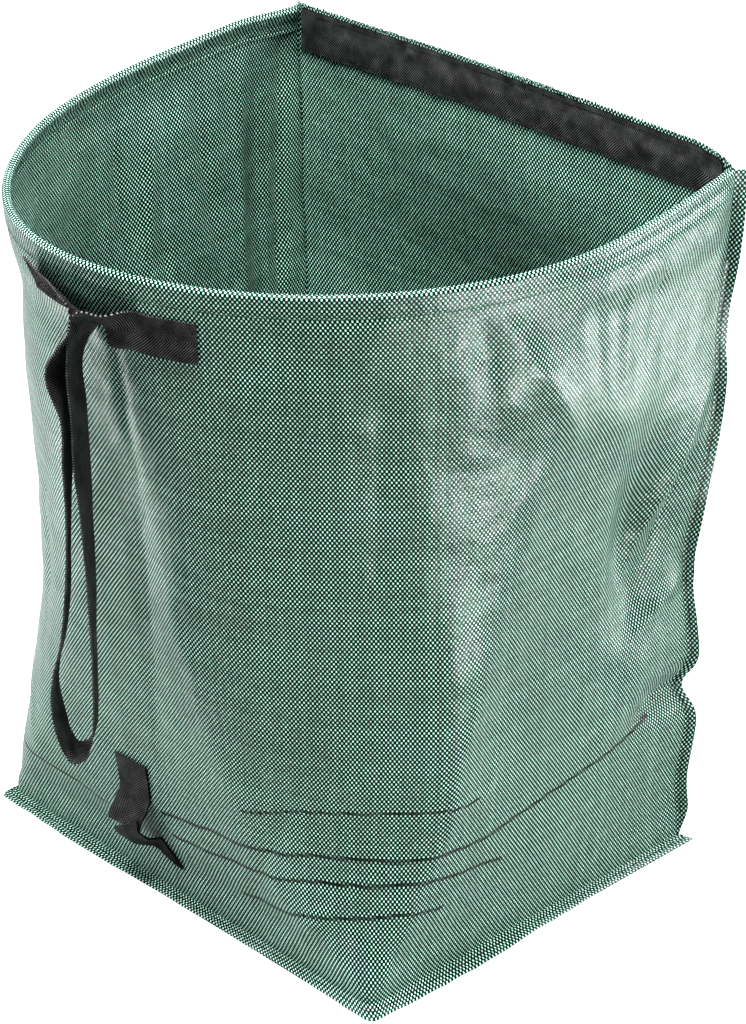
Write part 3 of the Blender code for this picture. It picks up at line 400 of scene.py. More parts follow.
def cloth_material():
    """Return the woven cloth: glossy black tapes one way, pale green see-through ones the other; packing
    creases in painted shade.
    """
    made, tree, shader = new_material("woven_cloth")
    place = add_node(tree, "UVMap", uv_map="cloth").outputs[0]
    weave = add_node(tree, "Group", node_tree=over_under)
    feed(tree, weave, {"Place": place, "Warp Pitch": WARP_PITCH, "Weft Pitch": WEFT_PITCH})
    crumpled = add_node(tree, "Group", node_tree=crumple)
    feed(tree, crumpled, {"Place": place, "Size": FACET_SCALE})
    cell = vector_node(tree, "SNAP", place, (WARP_PITCH, WEFT_PITCH, 1.0)).outputs[0]
    wobble = noise(tree, cell, 30.0, output="Color")
    wobbled = vector_node(tree, "MULTIPLY_ADD", wobble, (0.0, CREASE_WOBBLE, 0.0), cell).outputs[0]
    creased = 0.0
    for half_width, points in PACKING_CREASES:
        for start, end in zip(points[:-1], points[1:]):
            crease = add_node(tree, "Group", node_tree=crease_line)
            feed(tree, crease, {"Place": wobbled, "Start": (*start, 0.0), "End": (*end, 0.0),
                                "Half Width": half_width})
            creased = math_node(tree, "MAXIMUM", crease.outputs["Mask"], creased)
    # Painted shade in the packing creases: along each line the colour is darkened, in dashes that a noise
    # breaks up.
    shade_and_wear_noise = math_node(tree, "MULTIPLY_ADD", noise(tree, cell, 70.0), 0.7, 0.5)
    crease_shade_factor = math_node(tree, "MULTIPLY_ADD", math_node(tree, "MULTIPLY", creased, shade_and_wear_noise), -1.0, 1.0)
    tape = math_node(tree, "MULTIPLY_ADD", weave.outputs["Tone"], 0.36, 0.80)
    patch = math_node(tree, "MULTIPLY_ADD", crumpled.outputs["Patch"], 0.50, 0.76)
    # The ramp's palest end, on top of a green tape's crown, is partly a painted highlight.
    colour = ramp(tree, weave.outputs["Over"], CLOTH_RAMP)
    shaded = vector_node(tree, "SCALE", colour)
    feed(tree, shaded, {"Scale": math_node(tree, "MULTIPLY", math_node(tree, "MULTIPLY", tape, patch), crease_shade_factor)})
    crinkle = bump(tree, noise(tree, place, CRINKLE_SCALE, 5.0, 0.70), 0.6, CRINKLE_HEIGHT)
    facet = bump(tree, crumpled.outputs["Height"], 1.0, FACET_HEIGHT, Normal=crinkle)
    feed(tree, shader, {
        "Base Color": shaded.outputs[0],
        "Roughness": math_node(tree, "MULTIPLY_ADD", crumpled.outputs["Patch"], 0.30, 0.10),
        "Specular IOR Level": CLOTH_SPECULAR,
        "Normal": bump(tree, weave.outputs["Height"], 0.6, TAPE_HEIGHT, Normal=facet)})
    return made


woven_cloth = cloth_material()
base_cloth.data.materials.append(woven_cloth)
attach(base_cloth, "bag")
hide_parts("base_panel")


# Wrap cloth
# One length of the same cloth makes the left side, the round front and the right side. Its foot turns out over
# the base's edge, its two ends stand out behind as fins, and its top is folded inwards over the hoop and sewn.
MOUTH_WIDTH = 0.500
MOUTH_DEPTH = 0.4725
MOUTH_WIDEST = 0.516
WIDEST_FROM_REAR = 0.157
MOUTH_SKEW = 0.023
BAG_HEIGHT = 0.632
FRONT_DIP = 0.006
LEFT_RISE = 0.0075
LEFT_RISE_FROM = 0.070
LEFT_RISE_END = (0.400, 0.150)
CROWN_X = (-0.250, -0.200, -0.100, 0.000, 0.100, 0.210, 0.234, 0.250)
CROWN_RISE = (0.0000, 0.0020, 0.0060, 0.0090, 0.0105, 0.0115, 0.0075, 0.0000)
CROWN_DEPTH = 0.120
REAR_Y = 0.1864
WALL_FOOT_Z = 0.0068
WALL_TIP_Z = 0.0012
HEM_DEPTH = 0.022
HEM_STITCH = 0.019
HEM_PUCKERS = (0.0003, 0.0010)
HEM_PUCKER_RUN = 0.022
HEM_LEAN = 0.0058
HEM_LEAN_FROM = 0.780
HEM_LEAN_FADE = 0.120
HEM_LEAN_DEPTH = 0.040
BEAD_RADIUS = 0.0035
BEAD_OUT = -0.0035
BEAD_UP = -0.0040
FOLD_FADE = 0.060
FOLD_TOP = BAG_HEIGHT - HEM_DEPTH * 1.4
FOLD_CORNER_SHARE = 0.08
CORNER_DRAW_SHARE = 0.09
FIN_WIDTH = 0.010
FIN_WIDTH_AT_FOOT = 0.0015
FIN_TAPER_HEIGHT = 0.040
FIN_STEPS = (0.4, 0.7, 1.0)
# A fin's width and its lean vary along it by these: height, random seed, wavelength.
FIN_WIDTH_WAVE = (0.10, 31, 0.09)
FIN_LEAN = (0.0016, 32, 0.13)
SEAM_GAP = 0.0004
WRAP_COLUMNS = 271
WRAP_ROWS = 132
WRAP_LENGTH = 1.205
# The cloth's slow unevenness: height, random seed, wavelength.
WRAP_DRIFTS = ((0.0009, 5, 0.16), (0.0004, 6, 0.06))
BACK_DRIFT = (0.0009, 7, 0.15)

# The front corners of the wall: at each height, how far the rounding reaches along the front and along the
# side, and its roundness, from 2 for an ellipse to 1 for a straight facet.
CORNER_HEIGHTS = (0.012, 0.036, 0.087, 0.150, 0.210, 0.400, BAG_HEIGHT)
RIM_CORNER = (MOUTH_WIDEST / 2, MOUTH_DEPTH - WIDEST_FROM_REAR)
LEFT_CORNER_FRONT = (FOOT_RADIUS, 0.020, 0.060, 0.105, 0.140, 0.200, RIM_CORNER[0])
LEFT_CORNER_SIDE = (FOOT_RADIUS, 0.018, 0.045, 0.075, 0.105, 0.200, RIM_CORNER[1])
RIGHT_CORNER_FRONT = (FOOT_RADIUS, 0.043, 0.108, 0.142, 0.160, 0.210, RIM_CORNER[0])
RIGHT_CORNER_SIDE = (FOOT_RADIUS, 0.028, 0.058, 0.095, 0.112, 0.210, RIM_CORNER[1])
CORNER_ROUNDNESS = (2.0, 1.6, 1.5, 1.5, 1.5, 1.7, 2.0)
SECTION_ROWS = 81
SECTION_SHARES = 401
SHARE_STEP = 0.004

# The flange's seam lies at this share of its width from its root, and its cut edge spreads out by this much
# at a share of the wrap, over a half share.
FLANGE_STITCH = 0.45
FLANGE_SPREADS = ((0.0080, 0.770, 0.085), (0.0050, 0.400, 0.070))
# Its cut edge also waves out and up: height, random seed, wavelength.
FLANGE_WAVE = (0.0008, 23, 0.11)
FLANGE_LIFT = (0.0006, 24, 0.06)
# The flange's rows, from its cut edge: share of its width, and how far it arches there.
FLANGE_ROWS = ((0.0, 0.0), (0.22, 0.0011), (0.45, 0.0001), (1.0 - FLANGE_STITCH, -0.0001), (0.78, 0.0012))

# Main folds: place along the wrap at the foot and at the rim (0 at the left rear corner, 1 at the right one),
# half width, depth (outward is positive), height of the deepest point, half height.
WRAP_FOLDS = {
    "foot_hollow": (0.500, 0.500, 0.330, -0.0045, 0.036, 0.020),
    "left_front_slack": (0.370, 0.380, 0.090, -0.0070, 0.560, 0.060),
    "left_side_hollow": (0.130, 0.130, 0.110, -0.0120, 0.300, 0.160),
    "strap_valley": (0.496, 0.520, 0.045, -0.0090, 0.380, 0.190),
    "front_swell": (0.600, 0.610, 0.100, 0.0060, 0.300, 0.200),
    "right_front_ridge": (0.755, 0.728, 0.035, 0.0070, 0.240, 0.130),
    "right_side_hollow": (0.860, 0.850, 0.080, -0.0100, 0.330, 0.130),
    "right_rear_dent": (0.965, 0.925, 0.040, -0.0120, 0.330, 0.110),
    "under_rim_hollow": (0.450, 0.450, 0.060, -0.0060, 0.572, 0.022),
    "under_rim_swell": (0.790, 0.790, 0.050, 0.0060, 0.530, 0.045),
    "right_lower_swell": (0.900, 0.880, 0.060, 0.0060, 0.470, 0.040),
    "notch_right": (0.945, 0.945, 0.030, 0.0060, 0.210, 0.035),
    "rear_left_pleat": (0.045, 0.050, 0.022, 0.0080, 0.430, 0.150),
    "left_wall_ridge": (0.240, 0.230, 0.040, 0.0050, 0.420, 0.160),
    "rear_right_hollow": (0.940, 0.915, 0.030, -0.0160, 0.325, 0.075),
}
# How far each rear corner seam is drawn in, diagonally, at a height, over a half height.
CORNER_DRAWS = ((0.016, 0.285, 0.075), (0.014, 0.158, 0.018), (0.005, 0.060, 0.060), (0.004, 0.500, 0.060))

# Sharp creases: from one point of the wrap to another (share and height), half width, depth.
WRAP_CREASES = (
    (0.522, 0.585, 0.520, 0.430, 0.014, -0.0030),
    (0.520, 0.440, 0.500, 0.150, 0.022, -0.0030),
    (0.994, 0.455, 0.925, 0.265, 0.018, 0.0045),
    (0.992, 0.400, 0.950, 0.275, 0.034, -0.0100),
    (0.998, 0.270, 0.930, 0.235, 0.016, 0.0040),
    (0.998, 0.165, 0.940, 0.150, 0.014, -0.0050),
    (0.760, 0.600, 0.770, 0.520, 0.020, -0.0035),
    (0.780, 0.590, 0.840, 0.470, 0.022, 0.0040),
    (0.845, 0.600, 0.860, 0.500, 0.014, -0.0025),
    (0.880, 0.605, 0.885, 0.480, 0.014, 0.0025),
    (0.915, 0.600, 0.910, 0.510, 0.012, -0.0025),
    (0.700, 0.560, 0.690, 0.330, 0.022, -0.0030),
    (0.640, 0.180, 0.575, 0.020, 0.018, -0.0030),
    (0.715, 0.130, 0.600, 0.012, 0.016, 0.0030),
    (0.400, 0.380, 0.360, 0.200, 0.016, -0.0035),
    (0.300, 0.460, 0.330, 0.330, 0.018, 0.0030),
    (0.020, 0.600, 0.035, 0.300, 0.016, 0.0050),
    (0.060, 0.610, 0.075, 0.330, 0.020, -0.0045),
    (0.110, 0.600, 0.095, 0.420, 0.016, 0.0030),
    (0.150, 0.590, 0.165, 0.430, 0.016, -0.0035),
    (0.190, 0.600, 0.185, 0.460, 0.014, 0.0025),
)


def along(points, share):
    """Return the points at shares of a polyline's length, by linear interpolation."""
    length = run_length(points)
    return read_at(share * length[-1], length, points)


def foot_line(share, half_x, half_y, radius):
    """Return three sides of a rectangle from the left rear: straight, a quarter circle, straight, and so on."""
    turn = np.radians(np.linspace(0.0, 90.0, 9))
    arc = np.column_stack([-half_x + radius - radius * np.cos(turn), -half_y + radius - radius * np.sin(turn)])
    right = arc[::-1] * (-1.0, 1.0)
    line = np.concatenate([[(-half_x, half_y)], arc, right, [(half_x, half_y)]])
    return along(line, share)


def between_heights(z, values):
    """Return the value at a height, on a cubic through the values at CORNER_HEIGHTS that never overshoots."""
    z = min(max(z, CORNER_HEIGHTS[0]), CORNER_HEIGHTS[-1])
    spans = np.diff(CORNER_HEIGHTS)
    slopes = np.diff(values) / spans
    k = min(int(np.searchsorted(CORNER_HEIGHTS, z, side="right")) - 1, len(spans) - 1)
    ends = []
    for place in (k, k + 1):
        before, after = slopes[max(place - 1, 0)], slopes[min(place, len(spans) - 1)]
        level = before * after <= 0.0
        ends.append(0.0 if level else 2 * before * after / (before + after))
    t = (z - CORNER_HEIGHTS[k]) / spans[k]
    turned = (t ** 3 - 2 * t ** 2 + t) * ends[0] + (t ** 3 - t ** 2) * ends[1]
    return values[k] + (values[k + 1] - values[k]) * ease(t) + turned * spans[k]


def wall_section(z):
    """Return the wall's plan at a height: two sides that swell as a parabola, and rounded front corners.

    A corner is |x / front| to the power n plus |y / side| to the power n = 1, where n is the roundness.
    """
    rise = z / BAG_HEIGHT
    rear = SEAM_HALF_X + (MOUTH_WIDTH / 2 - SEAM_HALF_X) * rise
    widest = SEAM_HALF_X + (MOUTH_WIDEST / 2 - SEAM_HALF_X) * rise
    depth = 2 * SEAM_HALF_Y + (MOUTH_DEPTH - 2 * SEAM_HALF_Y) * rise
    rear_y = SEAM_HALF_Y + (REAR_Y - SEAM_HALF_Y) * rise
    roundness = between_heights(z, CORNER_ROUNDNESS)
    turn = np.linspace(0.0, math.pi / 2, 120)[1:]
    halves = []
    for front_values, side_values in ((LEFT_CORNER_FRONT, LEFT_CORNER_SIDE),
                                      (RIGHT_CORNER_FRONT, RIGHT_CORNER_SIDE)):
        front = between_heights(z, front_values)
        side = depth - between_heights(z, side_values)
        back = np.linspace(0.0, side, 60)
        side_x = widest - (widest - rear) * (1.0 - back / side) ** 2
        corner_x = widest - front + front * np.cos(turn) ** (2 / roundness)
        corner_back = side + (depth - side) * np.sin(turn) ** (2 / roundness)
        halves.append((np.concatenate([side_x, corner_x]), np.concatenate([back, corner_back])))
    (left_x, left_back), (right_x, right_back) = halves
    x = np.concatenate([-left_x, right_x[::-1]])
    back = np.concatenate([left_back, right_back[::-1]])
    x = x + MOUTH_SKEW * rise * np.sin(np.pi * back / depth)
    return np.stack([x, rear_y - back], axis=1)


RIM_SECTION = wall_section(BAG_HEIGHT)
WALL_SECTIONS = np.array([along(wall_section(z), np.linspace(0.0, 1.0, SECTION_SHARES))
                          for z in np.linspace(0.0, BAG_HEIGHT, SECTION_ROWS)])


def wall_plan(share, z):
    """Return the wall's plan at shares of its length and heights, read evenly between the kept sections."""
    row = np.clip(z / BAG_HEIGHT * (SECTION_ROWS - 1), 0.0, SECTION_ROWS - 1.001)
    column = np.clip(share * (SECTION_SHARES - 1), 0.0, SECTION_SHARES - 1.001)
    i = row.astype(int)
    j = column.astype(int)
    up = (row - i)[..., None]
    on = (column - j)[..., None]
    lower = WALL_SECTIONS[i, j] * (1.0 - on) + WALL_SECTIONS[i, j + 1] * on
    upper = WALL_SECTIONS[i + 1, j] * (1.0 - on) + WALL_SECTIONS[i + 1, j + 1] * on
    return lower * (1.0 - up) + upper * up


def rim_height(share):
    """Return the rim's height, which falls evenly from the rear edge to the front and is raised on the left."""
    dip = FRONT_DIP * (REAR_Y - along(RIM_SECTION, share)[..., 1]) / MOUTH_DEPTH
    end, fade = LEFT_RISE_END
    return BAG_HEIGHT - dip + LEFT_RISE * ease(share / LEFT_RISE_FROM) * ease((end - share) / fade)


def crown(x):
    """Return how much higher the rear edge is at an x than at its ends."""
    return np.interp(x, CROWN_X, CROWN_RISE)


def corner_draw(z):
    """Return how far a rear corner seam is drawn in at a height: a sum of bells."""
    return sum(depth * bell(z, middle, half) for depth, middle, half in CORNER_DRAWS)


def crease_push(x, y, creases):
    """Return the push of sharp creases: each falls from its line as (1 - distance / half width) to the 1.6.

    Its depth swells and fades along the line as a half sine.
    """
    push = np.zeros(np.broadcast(x, y).shape)
    for x0, y0, x1, y1, half, depth in creases:
        run = np.array([x1 - x0, y1 - y0])
        t = ((x - x0) * run[0] + (y - y0) * run[1]) / (run @ run)
        held = np.clip(t, 0.0, 1.0)
        away = np.hypot(x - x0 - held * run[0], y - y0 - held * run[1])
        push += depth * np.maximum(0.0, 1.0 - away / half) ** 1.6 * np.sin(np.pi * (0.08 + 0.84 * held))
    return push


def scattered_creases(seed, count, width, height):
    """Return short creases strewn over a cloth of a width and height, most of them steep."""
    random = np.random.default_rng(seed)
    x = random.uniform(-width / 2, width / 2, count)
    y = random.uniform(0.0, height, count)
    turn = random.normal(math.pi / 2, 0.75, count)
    reach = random.uniform(0.010, 0.055, count)
    half = random.uniform(0.008, 0.020, count)
    depth = random.uniform(0.0003, 0.0013, count) * random.choice((-1.0, 1.0), count)
    return list(zip(x - reach * np.cos(turn), y - reach * np.sin(turn), x + reach * np.cos(turn),
                    y + reach * np.sin(turn), half, depth))


WRAP_CRINKLES = scattered_creases(11, 190, WRAP_LENGTH, BAG_HEIGHT)


def wall_point(share, z):
    """Return the wrap: its plan at that height, pushed out or in by the main folds, the creases and a drift.

    The push fades at the foot, at the hem and at the rear corners, and each corner seam is drawn in.
    """
    share, z = np.broadcast_arrays(np.asarray(share, dtype=float), np.asarray(z, dtype=float))
    plan = wall_plan(share, z)
    run = unit(wall_plan(share + SHARE_STEP, z) - wall_plan(share - SHARE_STEP, z))
    outward = np.stack([run[..., 1], -run[..., 0]], axis=-1)
    held = ease(z / FOLD_FADE) * ease((FOLD_TOP - z) / FOLD_FADE)
    free = ease(share / FOLD_CORNER_SHARE) * ease((1.0 - share) / FOLD_CORNER_SHARE)
    foot_length = 2 * (2 * SEAM_HALF_Y + SEAM_HALF_X)
    push = np.zeros(share.shape)
    for low, groove_shade_and_wear, half, depth, height, half_height in WRAP_FOLDS.values():
        line = low + (groove_shade_and_wear - low) * z / BAG_HEIGHT
        push += depth * bell(share * foot_length, line * foot_length, half) * bell(z, height, half_height)
    u = (share - 0.5) * WRAP_LENGTH
    own = [((a - 0.5) * WRAP_LENGTH, b, (c - 0.5) * WRAP_LENGTH, d, e, f) for a, b, c, d, e, f in WRAP_CREASES]
    small = crease_push(u, z, own + WRAP_CRINKLES)
    for height, seed, wave in WRAP_DRIFTS:
        small = small + height * drift(u, z, seed, wave)
    push = push * held * free + small * ease(z / 0.02) * ease((FOLD_TOP + 0.02 - z) / 0.03)
    push += hem_lean(share) * ease((z - FOLD_TOP + HEM_LEAN_DEPTH) / HEM_LEAN_DEPTH)
    plan = plan + outward * push[..., None]
    near_left = 1.0 - ease(share / CORNER_DRAW_SHARE)
    near_right = 1.0 - ease((1.0 - share) / CORNER_DRAW_SHARE)
    draw = corner_draw(z) * held
    plan[..., 0] += draw * math.sqrt(0.5) * (near_left - near_right)
    plan[..., 1] -= draw * math.sqrt(0.5) * (near_left + near_right)
    return np.stack([plan[..., 0], plan[..., 1], z], axis=-1)


def rim_frame(share):
    """Return the rim's edge with its outward and upward directions, square to the rim's run."""
    plan = along(RIM_SECTION, share)
    top = rim_height(share)
    step = SHARE_STEP / 2
    run = unit(along(RIM_SECTION, share + step) - along(RIM_SECTION, share - step))
    run = np.concatenate([run, np.zeros_like(run[..., :1])], axis=-1)
    edge = np.concatenate([plan, top[..., None]], axis=-1)
    below = wall_plan(share, top - HEM_DEPTH)
    lower = np.concatenate([below, (top - HEM_DEPTH)[..., None]], axis=-1)
    up = edge - lower
    up = unit(up - run * np.sum(up * run, axis=-1, keepdims=True))
    return edge, np.cross(run, up), up


def hem_lean(share):
    """Return how far the hem's stitch line stands out from its edge: on the right, its face is turned up."""
    return HEM_LEAN * ease((share - HEM_LEAN_FROM) / HEM_LEAN_FADE) * ease((1.0 - share) / 0.02)


def hem_section():
    """Return the hem's section, out from and up from the edge: up the wall, round the hoop, down the inside."""
    turn = np.radians(np.linspace(-15.0, 195.0, 11))
    outside = [(-0.0002, -HEM_STITCH), (0.0003, -0.0155), (0.0001, -0.0120), (-0.0002, -0.0085)]
    bead = [(BEAD_OUT + BEAD_RADIUS * math.cos(a), BEAD_UP + BEAD_RADIUS * math.sin(a)) for a in turn]
    inside = [(-0.0052, -0.0085), (-0.0024, -0.0120), (-0.0014, -0.0155), (-0.0010, -HEM_STITCH),
              (-0.0016, -HEM_DEPTH - 0.0012)]
    return np.array(outside + bead + inside)


def fin_directions(side):
    """Return a rear fin's outward diagonal and the direction across it from the back panel to the wrap."""
    out = np.array([side * math.sqrt(0.5), math.sqrt(0.5), 0.0])
    to_wrap = np.array([side * math.sqrt(0.5), -math.sqrt(0.5), 0.0])
    return out, to_wrap


def fin_columns(root, side):
    """Return a fin's columns and its width: root plus t times the width along the diagonal, a little wavy."""
    out, to_wrap = fin_directions(side)
    z = root[:, 2]
    width = FIN_WIDTH_AT_FOOT + (FIN_WIDTH - FIN_WIDTH_AT_FOOT) * ease(z / FIN_TAPER_HEIGHT)
    height, seed, wave = FIN_WIDTH_WAVE
    width = width * (1.0 + height * drift(z, 0.0 * z, seed, wave))
    height, seed, wave = FIN_LEAN
    lean = height * drift(z, 0.0 * z, seed, wave) * ease(z / 0.1)
    columns = [root + out * (width * t)[:, None] + to_wrap * (lean * t * t)[:, None] for t in FIN_STEPS]
    return np.stack(columns, axis=1), width


def wall_cloth(name, rows, length, face):
    """Make a wall's cloth: its rows of points, moved off the corner seams, with a fin added along each side.

    length is where each column lies along the flat cloth. face is 1 for the wrap and -1 for the back, which lie
    on either side of a seam. Return the piece and the flat cloth's height.
    """
    panel = np.array(rows)
    fins = []
    flat = []
    for side, end in ((-1, 0), (1, -1)):
        panel[:, end] += fin_directions(side)[1] * face * SEAM_GAP / 2
        fin, width = fin_columns(panel[:, end], side)
        fins.append(fin)
        flat.append(length[end] + side * np.stack([width * t for t in FIN_STEPS], axis=1))
    steps = np.linalg.norm(np.diff(panel, axis=0), axis=2).mean(axis=1)
    height = np.concatenate([[0.0], np.cumsum(steps)])
    u = np.concatenate([flat[0][:, ::-1], np.tile(length, (len(height), 1)), flat[1]], axis=1)
    place = np.stack([u, np.tile(height[:, None], (1, u.shape[1]))], axis=-1)
    panel = np.concatenate([fins[0][:, ::-1], panel, fins[1]], axis=1)
    return cloth_mesh(name, panel, place), height[-1]


def flange_lines(share):
    """Return the root and the tip of the foot's flange; the tip waves in and out, and up."""
    root = wall_point(share, np.full(share.shape, WALL_FOOT_Z))
    tip = foot_line(share, BASE_WIDTH / 2, BASE_DEPTH / 2, FOOT_RADIUS)
    away = unit(tip - root[:, :2])
    length = share * WRAP_LENGTH
    height, seed, wave = FLANGE_WAVE
    spread = height * drift(length, 0.0 * length, seed, wave)
    spread += sum(out * bell(share, middle, half) for out, middle, half in FLANGE_SPREADS)
    tip = np.column_stack([tip + away * spread[:, None], np.full(len(share), WALL_TIP_Z)])
    height, seed, wave = FLANGE_LIFT
    tip[:, 2] += height * np.abs(drift(length, 0.0 * length, seed, wave))
    return root, tip


def make_wrap_cloth():
    """Make the wrap: rows from its foot's cut edge, up the wall, over the hoop and down to the raw edge."""
    share = np.linspace(0.0, 1.0, WRAP_COLUMNS)
    rows = []
    root, tip = flange_lines(share)
    for t, arch in FLANGE_ROWS:
        rows.append(tip + (root - tip) * t + np.array([0.0, 0.0, arch]))
    edge, outward, up = rim_frame(share)
    top = edge[:, 2] - HEM_DEPTH
    for t in np.linspace(0.0, 1.0, WRAP_ROWS):
        rows.append(wall_point(share, WALL_FOOT_Z + (top - WALL_FOOT_Z) * t))
    length = (share - 0.5) * WRAP_LENGTH
    flat_end = np.minimum(share, 1.0 - share) * WRAP_LENGTH
    open_hem = ease((flat_end - 0.001) / 0.005)
    section = hem_section()
    for k, (out, rise) in enumerate(section):
        pucker = HEM_PUCKERS[1] if k > len(section) // 2 else HEM_PUCKERS[0]
        puckered = pucker * drift(length, 0.4 * rise + 0.0 * length, 21, HEM_PUCKER_RUN)
        gather = puckered * bell(rise, -0.013, 0.007)
        across = out * (open_hem + (1.0 - open_hem) * 0.15) + gather * open_hem
        across += hem_lean(share) * min(max((-0.0085 - rise) / (HEM_STITCH - 0.0085), 0.0), 1.0)
        rows.append(edge + outward * across[:, None] + up * rise)
    return wall_cloth("wrap_cloth", rows, length, 1)


wrap_cloth, wrap_height = make_wrap_cloth()
wrap_cloth.data.materials.append(woven_cloth)
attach(wrap_cloth, "bag")
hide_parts("wrap_panel", "rim_hem")


# Back cloth
# The flat back of the bag is a second panel of the cloth. Its sides are sewn to the wrap's ends in the two
# fins, its foot is sewn to the base, and its top is a plain cut edge behind the band.
BACK_DRAW_SHARE = 0.22
BACK_SWELL = 0.024
BACK_SWELL_HEIGHT = 0.330
BACK_SWELL_HALF = 0.190
BACK_SWELL_TOP = BAG_HEIGHT - 0.055
BACK_SWELL_FOOT_FADE = 0.100
BACK_SWELL_TOP_FADE = 0.150
BACK_SWELL_ROUNDNESS = 1.2
BACK_COLUMNS = 277
BACK_ROWS = 118
BACK_PLACE = 2.0
BACK_FLANGE_ARCH = 0.0010
BACK_CRINKLES = scattered_creases(17, 70, MOUTH_WIDTH, BAG_HEIGHT)


def back_point(share, z):
    """Return the back: straight between the corner seams, with a swell below the band, creases and a drift."""
    left = wall_point(np.zeros_like(z), z)
    right = wall_point(np.ones_like(z), z)
    point = left + (right - left) * share[..., None]
    held = ease(z / FOLD_FADE) * ease((FOLD_TOP - z) / FOLD_FADE)
    from_corner = ease(np.minimum(share, 1.0 - share) / BACK_DRAW_SHARE)
    point[..., 1] += corner_draw(z) * held * math.sqrt(0.5) * from_corner
    fade = ease(z / BACK_SWELL_FOOT_FADE) * ease((BACK_SWELL_TOP - z) / BACK_SWELL_TOP_FADE)
    arch = np.sin(np.pi * np.clip(share, 0.0, 1.0)) ** BACK_SWELL_ROUNDNESS
    point[..., 1] += BACK_SWELL * bell(z, BACK_SWELL_HEIGHT, BACK_SWELL_HALF) * arch * fade
    u = (share - 0.5) * MOUTH_WIDTH
    height, seed, wave = BACK_DRIFT
    small = crease_push(u, z, BACK_CRINKLES) + height * drift(u, z, seed, wave)
    point[..., 1] += small * ease(z / 0.03) * ease((BACK_SWELL_TOP - z) / 0.03) * from_corner
    point[..., 2] += crown(point[..., 0]) * ease((z - BAG_HEIGHT + CROWN_DEPTH) / CROWN_DEPTH)
    return point


def make_back_cloth():
    """Make the back: rows from the cut edge of its foot up to its cut top edge, with a fin on each side."""
    share = np.linspace(0.0, 1.0, BACK_COLUMNS)
    tip = np.column_stack([(share * 2 - 1) * BASE_WIDTH / 2, np.full(BACK_COLUMNS, BASE_DEPTH / 2),
                           np.full(BACK_COLUMNS, WALL_TIP_Z)])
    root = back_point(share, np.full(BACK_COLUMNS, WALL_FOOT_Z))
    arch = np.array([0.0, 0.0, BACK_FLANGE_ARCH])
    rows = [tip + (root - tip) * t + arch * math.sin(math.pi * t) for t in (0.0, 0.35, 0.7)]
    for z in np.linspace(WALL_FOOT_Z, BAG_HEIGHT - 0.0004, BACK_ROWS):
        rows.append(back_point(share, np.full(BACK_COLUMNS, z)))
    return wall_cloth("back_cloth", rows, (share - 0.5) * MOUTH_WIDTH + BACK_PLACE, -1)


back_cloth, back_height = make_back_cloth()
back_cloth.data.materials.append(woven_cloth)
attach(back_cloth, "bag")
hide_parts("back_panel")


# Hoop and caps
# A sprung steel wire bent round three sides of the mouth lies in the hem, and a vinyl cap on each of its ends
# keeps it from cutting through. They are the CAD's own solids, and the hem hides them.
STEEL_LIGHT = (0.62, 0.63, 0.65, 1.0)
STEEL_DARK = (0.34, 0.35, 0.36, 1.0)
VINYL_LIGHT = (0.045, 0.045, 0.048, 1.0)
VINYL_DARK = (0.018, 0.018, 0.020, 1.0)


def plain_material(name, light, dark, roughness, metallic, scale):
    """Return a material between two colours by a noise, with the same noise in its roughness and its bump."""
    made, tree, shader = new_material(name)
    grain = noise(tree, add_node(tree, "TexCoord").outputs["Object"], scale, 5.0, 0.6)
    feed(tree, shader, {
        "Base Color": mix_colour(tree, grain, dark, light), "Metallic": metallic,
        "Roughness": math_node(tree, "MULTIPLY_ADD", grain, 0.3, roughness - 0.15),
        "Normal": bump(tree, grain, 0.4, 0.0002)})
    return made


hoop_wire = plain_material("hoop_wire", STEEL_LIGHT, STEEL_DARK, 0.34, 1.0, 700.0)
hoop_vinyl = plain_material("hoop_cap", VINYL_LIGHT, VINYL_DARK, 0.45, 0.0, 500.0)
for node, finish in (("rim_hoop", hoop_wire), ("hoop_cap_left", hoop_vinyl), ("hoop_cap_right", hoop_vinyl)):
    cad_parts[node].data.materials.clear()
    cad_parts[node].data.materials.append(finish)


# Edge tapes
# The cut top edge of the back cloth shows above the band. Its tapes have come a little loose, and stand up as a
# row of short, uneven teeth.
TAPE_COUNT = 273
TAPE_WIDTH = 0.0015
TAPE_LOOSE = 0.0009
TAPE_HELD = 0.0040
BOX_CORNERS = np.array([(x, y, z) for z in (0, 1) for x, y in ((-1, -1), (1, -1), (1, 1), (-1, 1))])
BOX_FACES = np.array([(0, 3, 2, 1), (4, 5, 6, 7), (0, 1, 5, 4), (1, 2, 6, 5), (2, 3, 7, 6), (3, 0, 4, 7)])


def make_edge_tapes():
    """Make the row of loose tapes: tape k is a thin box from below the edge to a random height above it."""
    random = np.random.default_rng(41)
    x = np.linspace(-0.5, 0.5, TAPE_COUNT) * (MOUTH_WIDTH - 0.008)
    y = REAR_Y + random.normal(0.0, 0.00025, TAPE_COUNT)
    rise = TAPE_HELD + random.uniform(0.3, 1.0, TAPE_COUNT) * TAPE_LOOSE
    half = np.stack([np.full(TAPE_COUNT, TAPE_WIDTH / 2), np.full(TAPE_COUNT, 0.00014), rise], axis=-1)
    corners = BOX_CORNERS[None] * half[:, None]
    lean = random.normal(0.0, 0.05, (TAPE_COUNT, 1)) * corners[..., 2]
    corners[..., 0] += lean
    corners[..., 1] += random.normal(0.0, 0.10, (TAPE_COUNT, 1)) * corners[..., 2]
    points = corners + np.stack([x, y, BAG_HEIGHT - TAPE_HELD + crown(x)], axis=-1)[:, None]
    faces = BOX_FACES[None] + 8 * np.arange(TAPE_COUNT)[:, None, None]
    points = points.reshape(-1, 3)
    return make_piece("edge_tapes", points, faces.reshape(-1, 4), points[:, (0, 2)] + (BACK_PLACE, 0.0))


edge_tapes = make_edge_tapes()
edge_tapes.data.materials.append(woven_cloth)
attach(edge_tapes, "bag")


